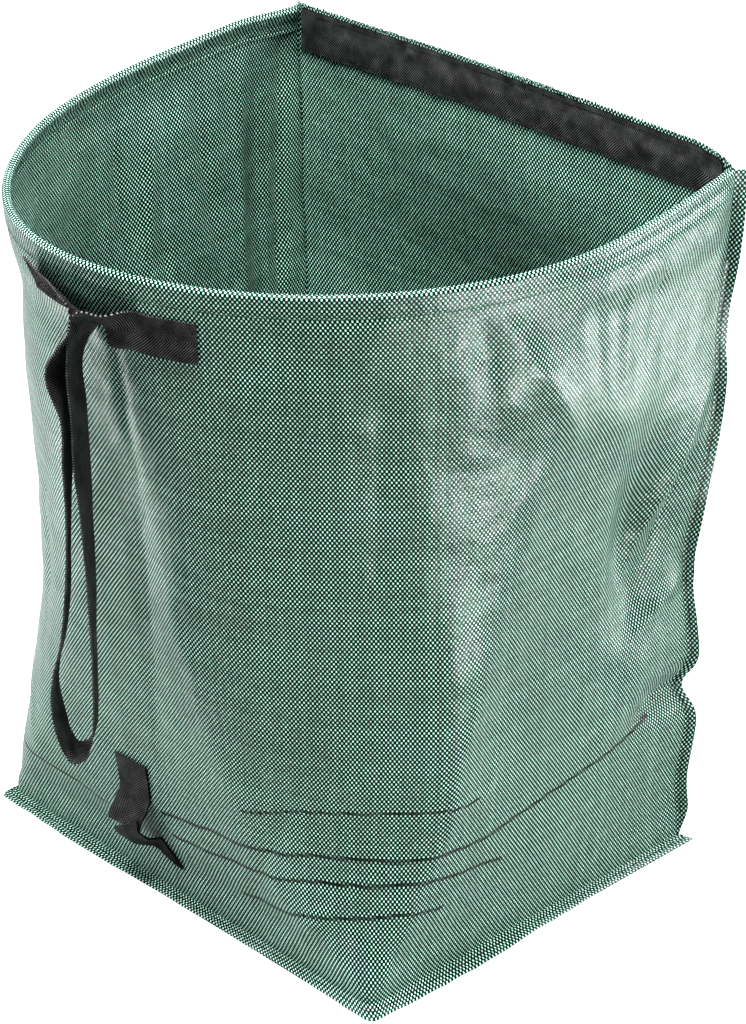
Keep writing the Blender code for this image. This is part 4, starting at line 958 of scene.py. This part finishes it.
# Edge band
# A strip of black polypropylene webbing is sewn flat along the inside of the straight rear edge, a little below
# it. Its right end is rounded and tucked behind the end of the hem.
BAND_HEIGHT = 0.038
BAND_BELOW_EDGE = 0.0025
BAND_LEVEL = BAG_HEIGHT - BAND_BELOW_EDGE - BAND_HEIGHT / 2
BAND_HALF = 0.2424
BAND_ROUND = 0.007
BAND_FACE_Y = REAR_Y - 0.0018
WEBBING = 0.0014
WEBBING_CHEVRON = 0.0190
RIB_PITCH = 0.0023
RIB_HEIGHT = 0.00070
YARN_PITCH = 0.00095
WEBBING_SPECULAR = 0.16
# The webbing's colour from its grooves, painted near black as their shade, to its worn high spots: place, red,
# green, blue.
WEBBING_RAMP = ((0.00, 0.0005, 0.0005, 0.0005), (0.40, 0.0020, 0.0020, 0.0021), (0.62, 0.0300, 0.0300, 0.0310),
                (1.00, 0.3200, 0.3210, 0.3240))
BAND_ROUND_SHARE = 0.30
BAND_EDGE_WAVE = (0.0006, 51, 0.05)
BAND_FACE_WAVE = (0.0009, 52, 0.030)
BAND_TUCK = 0.0035
BAND_SEWN = 0.40
BAND_COLUMNS = 241
BAND_ROWS = 17


def webbing_material():
    """Return the black webbing: a twill of fine cords, with a slight chevron, painted shade in its grooves and
    worn grey on its high spots.
    """
    made, tree, shader = new_material("webbing")
    place = add_node(tree, "UVMap", uv_map="cloth").outputs[0]
    across, along_it, _ = add_node(tree, "SeparateXYZ", (place,)).outputs
    chevron = math_node(tree, "PINGPONG", across, WEBBING_CHEVRON)
    slant = math_node(tree, "MULTIPLY_ADD", chevron, 0.9, along_it)
    wave = math_node(tree, "SINE", math_node(tree, "MULTIPLY", slant, math.pi / RIB_PITCH))
    rib = math_node(tree, "ABSOLUTE", wave)
    weave = add_node(tree, "Group", node_tree=over_under)
    feed(tree, weave, {"Place": add_node(tree, "CombineXYZ", (across, slant)).outputs[0],
                       "Warp Pitch": YARN_PITCH, "Weft Pitch": RIB_PITCH})
    yarn = math_node(tree, "MULTIPLY_ADD", weave.outputs["Height"], 0.5, 0.5)
    relief = math_node(tree, "MULTIPLY", rib, yarn)
    shade_and_wear_noise = noise(tree, place, 55.0, 4.0, 0.6)
    # The colour follows the relief: painted shade darkens the grooves, and the noise greys the high spots as
    # wear.
    groove_shade_and_wear = math_node(tree, "MULTIPLY", relief, math_node(tree, "MULTIPLY_ADD", shade_and_wear_noise, 0.9, 0.5))
    feed(tree, shader, {
        "Base Color": ramp(tree, groove_shade_and_wear, WEBBING_RAMP),
        "Roughness": math_node(tree, "MULTIPLY_ADD", shade_and_wear_noise, 0.3, 0.42),
        "Specular IOR Level": WEBBING_SPECULAR,
        "Normal": bump(tree, relief, 1.0, RIB_HEIGHT)})
    return made


def make_edge_band():
    """Make the band: a flat grid, its height shrunk on a quarter circle at its right end, its edges wavy."""
    x = np.linspace(-BAND_HALF, BAND_HALF, BAND_COLUMNS)
    v = np.linspace(-0.5, 0.5, BAND_ROWS)[:, None]
    past = np.clip((x - BAND_HALF + BAND_ROUND) / BAND_ROUND, 0.0, 1.0)
    shrink = 1.0 - BAND_ROUND_SHARE * (1.0 - np.sqrt(1.0 - 0.98 * past ** 2))
    height, seed, wave = BAND_EDGE_WAVE
    edge_wave = height * drift(x, 0.0 * x, seed, wave)
    z = BAND_LEVEL + crown(x) + v * BAND_HEIGHT * shrink + edge_wave * (0.5 - v)
    held = np.abs(np.abs(v) - BAND_SEWN) < 0.03
    height, seed, wave = BAND_FACE_WAVE
    swell = height * np.abs(drift(x[None], z, seed, wave)) * (1.0 - 0.7 * held)
    y = BAND_FACE_Y - swell - BAND_TUCK * past ** 2
    middle = np.stack(np.broadcast_arrays(x[None], y, z), axis=-1)
    place = np.stack(np.broadcast_arrays(v * BAND_HEIGHT, x[None]), axis=-1)
    return cloth_mesh("edge_webbing", middle, place, WEBBING)


webbing = webbing_material()
edge_webbing = make_edge_band()
edge_webbing.data.materials.append(webbing)
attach(edge_webbing, "bag")
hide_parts("edge_band")


# Seams
# Every seam is lockstitched: separate short stitches of twisted polyester thread, green along the hem and black
# elsewhere, which sink into the cloth at their ends. They show on both faces.
STITCH_PITCH = 0.0042
STITCH_HALF = 0.00165
STITCH_CHORD = 0.0008
STITCH_SCATTER = 0.00012
STITCH_TURN = 0.05
THREAD_RADIUS = 0.00038
SPINDLE = ((-1.0, 0.45), (-0.7, 0.95), (0.0, 1.0), (0.7, 0.95), (1.0, 0.45))
SPINDLE_SIDES = 6


def stitches(name, runs, pitch=STITCH_PITCH, radius=THREAD_RADIUS):
    """Make one mesh of stitches along runs, each a path with its outward directions.

    A stitch is a spindle whose ring at t, from -1 to 1, has its centre STITCH_HALF t along the path and
    0.8 radius - 1.1 radius t to the 4 out from it.
    """
    random = np.random.default_rng(len(name))
    centres, directions, normals = [], [], []
    for path, out in runs:
        length = run_length(path)
        count = max(int(length[-1] / pitch), 1)
        middle = (np.arange(count) + 0.5) * length[-1] / count + random.normal(0.0, STITCH_SCATTER, count)
        start, end = (read_at(middle + reach, length, path) for reach in (-STITCH_CHORD, STITCH_CHORD))
        centres.append((start + end) / 2)
        directions.append(unit(end - start))
        normals.append(read_at(middle, length, out))
    centre, run, out = (np.concatenate(parts) for parts in (centres, directions, normals))
    side = unit(np.cross(run, out))
    out = np.cross(side, run)
    side = unit(side + run * random.normal(0.0, STITCH_TURN, (len(run), 1)))
    run = np.cross(out, side) * np.sign(np.sum(np.cross(out, side) * run, axis=-1, keepdims=True))
    t, shape = np.array(SPINDLE).T
    angle = np.arange(SPINDLE_SIDES) * 2 * math.pi / SPINDLE_SIDES
    half = STITCH_HALF * pitch / STITCH_PITCH
    spine = (centre[:, None] + run[:, None] * (t * half)[None, :, None]
             + out[:, None] * (radius * (0.8 - 1.1 * t ** 4))[None, :, None])
    spoke = side[:, None] * np.cos(angle)[None, :, None] + out[:, None] * np.sin(angle)[None, :, None]
    points = spine[:, :, None] + spoke[:, None] * (shape * radius)[None, :, None, None]
    a = np.arange(SPINDLE_SIDES)
    b = (a + 1) % SPINDLE_SIDES
    ring = SPINDLE_SIDES * np.arange(len(t) - 1)[:, None]
    above = ring + SPINDLE_SIDES
    walls = np.stack([ring + a, ring + b, above + b, above + a], axis=-1).reshape(-1, 4)
    last = SPINDLE_SIDES * (len(t) - 1)
    ends = np.array([(3, 2, 1, 0), (0, 5, 4, 3)])
    one = np.concatenate([walls, ends, last + ends[0:1, ::-1], last + np.array([(0, 3, 4, 5)])])
    corner, second, third = (points[0].reshape(-1, 3)[one[0, k]] for k in range(3))
    if np.cross(second - corner, third - corner) @ (corner - spine[0, 0]) < 0.0:
        one = one[:, ::-1]
    faces = one[None] + SPINDLE_SIDES * len(t) * np.arange(len(centre))[:, None, None]
    piece = make_piece(name, points.reshape(-1, 3), faces.reshape(-1, 4))
    piece.data.shade_smooth()
    return piece


def thread_material(name, light, dark):
    """Return a thread's material: two plies that wind round each other as slanting bands, light on the plies
    and dark with painted shade in the grooves.
    """
    made, tree, shader = new_material(name)
    place = add_node(tree, "TexCoord").outputs["Object"]
    wave = {"Vector": place, "Scale": 420.0, "Distortion": 1.5}
    plies = add_node(tree, "TexWave", wave, bands_direction="DIAGONAL").outputs["Fac"]
    # Painted shade: the colour darkens where the plies' bump dips, in the grooves between them.
    twist = math_node(tree, "MULTIPLY", plies, noise(tree, place, 900.0, 3.0))
    feed(tree, shader, {"Base Color": mix_colour(tree, twist, dark, light), "Roughness": 0.62,
                        "Normal": bump(tree, plies, 0.6, 0.00010)})
    return made


green_thread = thread_material("green_thread", (0.16, 0.40, 0.30, 1.0), (0.030, 0.110, 0.075, 1.0))
black_thread = thread_material("black_thread", (0.060, 0.062, 0.062, 1.0), (0.010, 0.011, 0.011, 1.0))


def hem_runs():
    """Return the hem's stitch line on its inner and its outer face."""
    share = np.linspace(0.006, 0.994, 700)
    edge, outward, up = rim_frame(share)
    line = edge - up * HEM_STITCH + outward * hem_lean(share)[:, None]
    return [(line - outward * 0.0012, -outward), (line, outward)]


def corner_runs():
    """Return the line down each rear fin, on the wrap's face and on the back cloth's face."""
    z = np.linspace(0.030, BAG_HEIGHT - 0.012, 160)
    runs = []
    for side in (-1, 1):
        out, to_wrap = fin_directions(side)
        root = wall_point(np.full(len(z), 0.0 if side < 0 else 1.0), z)
        fin, _ = fin_columns(root, side)
        line = root + (fin[:, 0] - root) * 0.9
        for face in (1.0, -1.0):
            away = to_wrap * face
            runs.append((line + away * (SEAM_GAP / 2 + CLOTH / 2), np.tile(away, (len(z), 1))))
    return runs


def band_runs():
    """Return the band's two lines, on its own face and on the outside of the back cloth."""
    x = np.linspace(-BAND_HALF + 0.004, BAND_HALF - 0.006, 200)
    runs = []
    for v in (-BAND_SEWN, BAND_SEWN):
        z = np.full(len(x), BAND_LEVEL + v * BAND_HEIGHT)
        inside = np.stack([x, np.full(len(x), BAND_FACE_Y - WEBBING / 2 - 0.0003), z + crown(x)], axis=-1)
        outside = back_point(x / MOUTH_WIDTH + 0.5, z)
        outside[:, 1] += CLOTH / 2
        runs.append((inside, np.tile((0.0, -1.0, 0.0), (len(x), 1))))
        runs.append((outside, np.tile((0.0, 1.0, 0.0), (len(x), 1))))
    return runs


def on_flange(root, tip, run):
    """Return the stitch line on top of a flange that runs this way, with its upward directions."""
    above = unit(np.cross(tip - root, run))
    above = above * np.sign(above[:, 2:3])
    return root + (tip - root) * FLANGE_STITCH + above * (CLOTH / 2 + 0.0004), above


def flange_runs():
    """Return the line round the foot's flange, on top of the wrap's and the back cloth's turned edge."""
    x = np.linspace(-SEAM_HALF_X + 0.006, SEAM_HALF_X - 0.006, 120)
    root = back_point(x / (2 * SEAM_HALF_X) + 0.5, np.full(len(x), WALL_FOOT_Z))
    tip = np.stack([x, np.full(len(x), BASE_DEPTH / 2), np.full(len(x), WALL_TIP_Z)], axis=-1)
    front_root, front_tip = flange_lines(np.linspace(0.010, 0.990, 500))
    along_front = np.gradient(front_root, axis=0)
    return [on_flange(front_root, front_tip, along_front), on_flange(root, tip, (1.0, 0.0, 0.0))]


def seam(name, runs, material, slot, *nodes, **size):
    """Make the thread along the runs of a seam, which stands for these nodes of the frame."""
    thread = stitches(name, runs, **size)
    thread.data.materials.append(material)
    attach(thread, "bag")
    if nodes:
        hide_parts(*nodes)


seam("hem_thread", hem_runs(), green_thread, "green_thread", "hem_stitch")
seam("corner_thread", corner_runs(), black_thread, "black_thread", "corner_stitch_left", "corner_stitch_right")
seam("band_thread", band_runs(), black_thread, "black_thread", "edge_band_stitch_upper",
     "edge_band_stitch_lower")
seam("flange_thread", flange_runs(), black_thread, "black_thread", "base_stitch_wrap", "base_stitch_back")


# Carry strap
# One length of black webbing. Each end is sewn flat below the rim with a box and a cross; between them the
# webbing turns edge-on, folds over and hangs down the front of the bag in a long narrow loop.
STRAP_WIDTH = 0.033
STRAP_CUP = 0.0006
STRAP_COLUMNS = 11
STRAP_ROWS = 420
SEWN_STEP = 0.004
LOOP_AT = (0.0135, -0.2965)
LOOP_ACROSS = (math.cos(math.radians(46.0)), math.sin(math.radians(46.0)))
LEFT_SEWN = ((-0.044, 0.5965, 66.0), (-0.037, 0.5960, 64.0), (-0.030, 0.5950, 62.0), (-0.021, 0.5935, 58.0))
RIGHT_SEWN = ((0.066, 0.5810, 84.0), (0.076, 0.5800, 90.0), (0.088, 0.5800, 90.0), (0.100, 0.5800, 90.0),
              (0.112, 0.5800, 90.0))
# Where the webbing is free: x, y, height, and the azimuth and elevation of its width, in degrees.
LEFT_TURN = ((-0.006, -0.2840, 0.5915, 0.0, 54.0), (0.010, -0.2875, 0.5900, 4.0, 47.0),
             (0.0235, -0.2900, 0.5865, 18.0, 36.0), (0.0262, -0.2925, 0.5745, 20.0, 20.0),
             (0.0185, -0.2965, 0.5610, 14.0, 8.0), (0.0104, -0.2990, 0.5470, 12.0, 0.0))
RIGHT_TURN = ((0.0176, -0.2922, 0.5470, 28.0, 0.0), (0.0215, -0.2905, 0.5640, 20.0, 6.0),
              (0.0300, -0.2885, 0.5800, 2.0, 20.0), (0.0410, -0.2890, 0.5880, -4.0, 40.0),
              (0.0530, -0.2870, 0.5855, -2.0, 60.0))
# The hanging loop: distance across it, height, and the azimuth of the webbing's width.
LOOP_STATIONS = (
    (-0.0005, 0.5, 37.0), (-0.001, 0.465, 37.0), (-0.0019, 0.428, 43.0), (-0.0035, 0.385, 45.0),
    (-0.0065, 0.334, 42.0), (-0.01, 0.3075, 42.0), (-0.0167, 0.279, 41.0), (-0.0189, 0.261, 41.0),
    (-0.018, 0.2445, 39.0), (-0.015, 0.228, 38.0), (-0.0105, 0.211, 41.0), (-0.0045, 0.2015, 41.0),
    (0.0035, 0.204, 41.0), (0.009, 0.2165, 42.0), (0.0112, 0.235, 44.0), (0.0116, 0.265, 44.5),
    (0.0121, 0.3075, 44.0), (0.0122, 0.334, 41.0), (0.0116, 0.385, 38.0), (0.0104, 0.428, 34.0),
    (0.0084, 0.465, 29.0), (0.008, 0.5, 30.0),
)
BOX_STITCH = 0.025
BOX_INSET = 0.003
BOX_PITCH = 0.0034
BOX_POINTS = 24
WALL_CLEARANCE = WEBBING / 2 + 0.0008
SEWN_GAP = 0.0006
SEWN_LEAN_SHARE = 0.25
FRONT_SHARES = (0.35, 0.68)
HALVINGS = 24


def curve_through(points, count):
    """Return a smooth curve through points of any number of columns: cubic between them, by chord length."""
    points = np.asarray(points, dtype=float)
    chord = run_length(points)
    slope = np.gradient(points, chord, axis=0)
    place = np.linspace(0.0, chord[-1], count)
    k = np.clip(np.searchsorted(chord, place, side="right") - 1, 0, len(chord) - 2)
    span = (chord[k + 1] - chord[k])[:, None]
    t = (place - chord[k])[:, None] / span
    return (points[k] * (2 * t ** 3 - 3 * t ** 2 + 1) + slope[k] * span * (t ** 3 - 2 * t ** 2 + t)
            + points[k + 1] * (3 * t ** 2 - 2 * t ** 3) + slope[k + 1] * span * (t ** 3 - t ** 2))


def share_at_x(x, z):
    """Return the share of the front where the wrap has an x at a height, found by halving."""
    low = np.full(np.shape(x), FRONT_SHARES[0])
    groove_shade_and_wear = np.full(np.shape(x), FRONT_SHARES[1])
    for _ in range(HALVINGS):
        middle = (low + groove_shade_and_wear) / 2
        short = wall_point(middle, z)[..., 0] < x
        low = np.where(short, middle, low)
        groove_shade_and_wear = np.where(short, groove_shade_and_wear, middle)
    return (low + groove_shade_and_wear) / 2


def off_wall(points):
    """Return a strap's points, moved forward where they are nearer to the wrap's front than WALL_CLEARANCE."""
    share = share_at_x(points[..., 0], points[..., 2])
    front = wall_point(share, points[..., 2])[..., 1] - WALL_CLEARANCE
    clear = points.copy()
    clear[..., 1] = np.minimum(points[..., 1], front)
    return clear


def resting_frame(x, z, half_x, half_z):
    """Return a point over the wrap's front and its outward direction, for a flat patch that rests on the cloth.

    The direction is square to the patch's two middle lines, and the point is out by the cloth's highest place.
    """
    share = share_at_x(x, z)
    across, up = np.meshgrid(np.linspace(-1.0, 1.0, 7), np.linspace(-1.0, 1.0, 7))
    patch = wall_point(share + across * half_x / WRAP_LENGTH, z + up * half_z)
    out = unit(np.cross(patch[3, -1] - patch[3, 0], patch[-1, 3] - patch[0, 3]))
    centre = wall_point(share, z)
    return centre + out * np.max((patch - centre) @ out), out


def width_direction(azimuth, elevation):
    """Return the direction of a strap's width: forward at azimuth 0, up at elevation 90."""
    azimuth = np.radians(azimuth)
    elevation = np.radians(elevation)
    return np.stack([np.cos(elevation) * np.sin(azimuth), -np.cos(elevation) * np.cos(azimuth),
                     np.sin(elevation)], axis=-1)


def sewn_stations(places):
    """Return the stations of a sewn end: on the wall, and further out where the webbing leans from it."""
    made = []
    for x, z, elevation in places:
        point, out = resting_frame(x, z, SEWN_STEP, STRAP_WIDTH / 2)
        lean = math.cos(math.radians(elevation)) * STRAP_WIDTH / 2
        point = point + out * (WEBBING / 2 + SEWN_GAP + lean * SEWN_LEAN_SHARE)
        made.append((*point, math.degrees(math.atan2(out[0], -out[1])), elevation))
    return made


def strap_frame(stations, count):
    """Return a strap's middle line with its width, its outward direction and its length at each point."""
    curve = curve_through(stations, count)
    middle = curve[:, :3]
    run = unit(np.gradient(middle, axis=0))
    wide = width_direction(curve[:, 3], curve[:, 4])
    wide = unit(wide - run * np.sum(wide * run, axis=1, keepdims=True))
    return middle, wide, np.cross(run, wide), run_length(middle)


def webbing_piece(name, course, across, bow, flat):
    """Make a webbing piece: middle(i) + wide(i) across(i, j) + out(i) bow(i, j), moved off the wall.

    course is the middle line, the width, the outward direction and the length. flat is where each column lies
    across the flat webbing.
    """
    middle, wide, out, length = course
    grid = middle[:, None] + wide[:, None] * across[..., None] + out[:, None] * bow[..., None]
    place = np.stack(np.broadcast_arrays(flat[None], length[:, None]), axis=-1)
    piece = cloth_mesh(name, off_wall(grid), place, WEBBING)
    piece.data.materials.append(webbing)
    return piece


def box_run(course, start, size):
    """Return the stitch lines of a box and its cross, on a strap's outer face, from a length on."""
    middle, wide, out, length = course
    corners = np.array([(0.0, -0.5), (1.0, -0.5), (1.0, 0.5), (0.0, 0.5)]) * size
    runs = []
    for a, b in ((0, 1), (1, 2), (2, 3), (3, 0), (0, 2), (1, 3)):
        place, across = np.linspace(corners[a], corners[b], BOX_POINTS).T
        at, side, face = (read_at(start + place, length, part) for part in (middle, wide, out))
        runs.append((off_wall(at + side * across[:, None]) + face * WEBBING / 2, face))
    return runs


loop_stations = [(LOOP_AT[0] + LOOP_ACROSS[0] * u, LOOP_AT[1] + LOOP_ACROSS[1] * u, z, azimuth, 0.0)
                 for u, z, azimuth in LOOP_STATIONS]
strap_stations = (sewn_stations(LEFT_SEWN) + list(LEFT_TURN) + loop_stations + list(RIGHT_TURN)
                  + sewn_stations(RIGHT_SEWN))
strap = strap_frame(strap_stations, STRAP_ROWS)
strap_length = strap[3]
strap_v = np.linspace(-0.5, 0.5, STRAP_COLUMNS)
strap_wave = 1.0 + 0.5 * drift(strap_length, 0.0 * strap_length, 61, 0.12)
strap_bow = STRAP_CUP * (4 * strap_v ** 2) * strap_wave[:, None]
strap_across = strap_v * STRAP_WIDTH
carry_webbing = webbing_piece("carry_webbing", strap, strap_across[None], strap_bow, strap_across)
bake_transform(carry_webbing)
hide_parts("carry_strap_end_left", "carry_strap_end_right", "carry_strap_loop")
box_runs = []
for start in (BOX_INSET, strap_length[-1] - BOX_INSET - BOX_STITCH):
    box_runs += box_run(strap, start, BOX_STITCH)
seam("carry_thread", box_runs, black_thread, "black_thread", "carry_strap_box_stitch_left",
     "carry_strap_box_stitch_right", pitch=BOX_PITCH)


# Grab strap
# A short length of wider webbing, sewn on low at the front. Its upper part hangs from its seam to a fold, and
# its lower part runs from the fold back to the wall, where its narrowed end is sewn down.
GRAB_WIDTH = 0.038
GRAB_CUP = 0.0012
GRAB_TAPER = (0.98, 0.80, 0.55, 0.42, 0.22, 0.04)
GRAB_UPPER = ((-0.0405, 0.1290), (-0.0405, 0.1180), (-0.0405, 0.1070), (-0.0405, 0.0970))
GRAB_FREE = ((-0.0408, -0.2030, 0.0860), (-0.0412, -0.2085, 0.0770), (-0.0410, -0.2120, 0.0690))
# From the fold back to the wall: x, y, height, and the turn of the width in degrees.
GRAB_BACK = ((-0.0405, -0.2105, 0.0700, 0.0), (-0.0365, -0.2100, 0.0640, 10.0),
             (-0.0290, -0.2040, 0.0560, 30.0))
GRAB_LOWER = ((-0.0200, 0.0510), (-0.0110, 0.0440), (-0.0020, 0.0380), (0.0040, 0.0350))
GRAB_ROWS = 70
GRAB_STEP = 0.005
GRAB_GAP = 0.0005
GRAB_LOWER_TURN = 48.0
GRAB_CUP_RUN = 0.02
GRAB_BOX = 0.020
GRAB_BOX_FROM = 0.004


def grab_wall(places, turn):
    """Return grab strap stations that lie on the wall, with the turn of the width in degrees."""
    made = []
    for x, z in places:
        point, out = resting_frame(x, z, GRAB_WIDTH / 2, GRAB_STEP)
        made.append((*(point + out * (WEBBING / 2 + GRAB_GAP)), turn))
    return made


def grab_half(name, stations, shares):
    """Make one half of the strap: its width lies along +X, turned by the stations' last column in degrees.

    Return it with its frame: middle line, width, outward direction and length.
    """
    curve = curve_through(stations, GRAB_ROWS)
    middle = curve[:, :3]
    turn = np.radians(curve[:, 3])
    wide = np.stack([np.cos(turn), 0.0 * turn, np.sin(turn)], axis=-1)
    run = unit(np.gradient(middle, axis=0))
    wide = unit(wide - run * np.sum(wide * run, axis=1, keepdims=True))
    length = run_length(middle)
    half = (middle, wide, np.cross(wide, run), length)
    v = np.linspace(-0.5, 0.5, STRAP_COLUMNS)
    taper = np.interp(length / length[-1], np.linspace(0.0, 1.0, len(shares)), shares)
    bow = GRAB_CUP * (1.0 - 4 * v ** 2) * ease(length / GRAB_CUP_RUN)[:, None]
    return webbing_piece(name, half, v[None] * GRAB_WIDTH * taper[:, None], bow, v * GRAB_WIDTH), half


grab_top, grab_frame = grab_half(
    "grab_webbing_upper", grab_wall(GRAB_UPPER, 0.0) + [(*point, 0.0) for point in GRAB_FREE], (1.0, 1.0))
grab_tail, _ = grab_half(
    "grab_webbing_lower", list(GRAB_BACK) + grab_wall(GRAB_LOWER, GRAB_LOWER_TURN), GRAB_TAPER)
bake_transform(grab_top)
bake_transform(grab_tail)
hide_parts("grab_strap_end_upper", "grab_strap_loop")
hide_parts("grab_strap_end_lower")
seam("grab_thread", box_run(grab_frame, GRAB_BOX_FROM, GRAB_BOX), black_thread, "black_thread", pitch=BOX_PITCH)
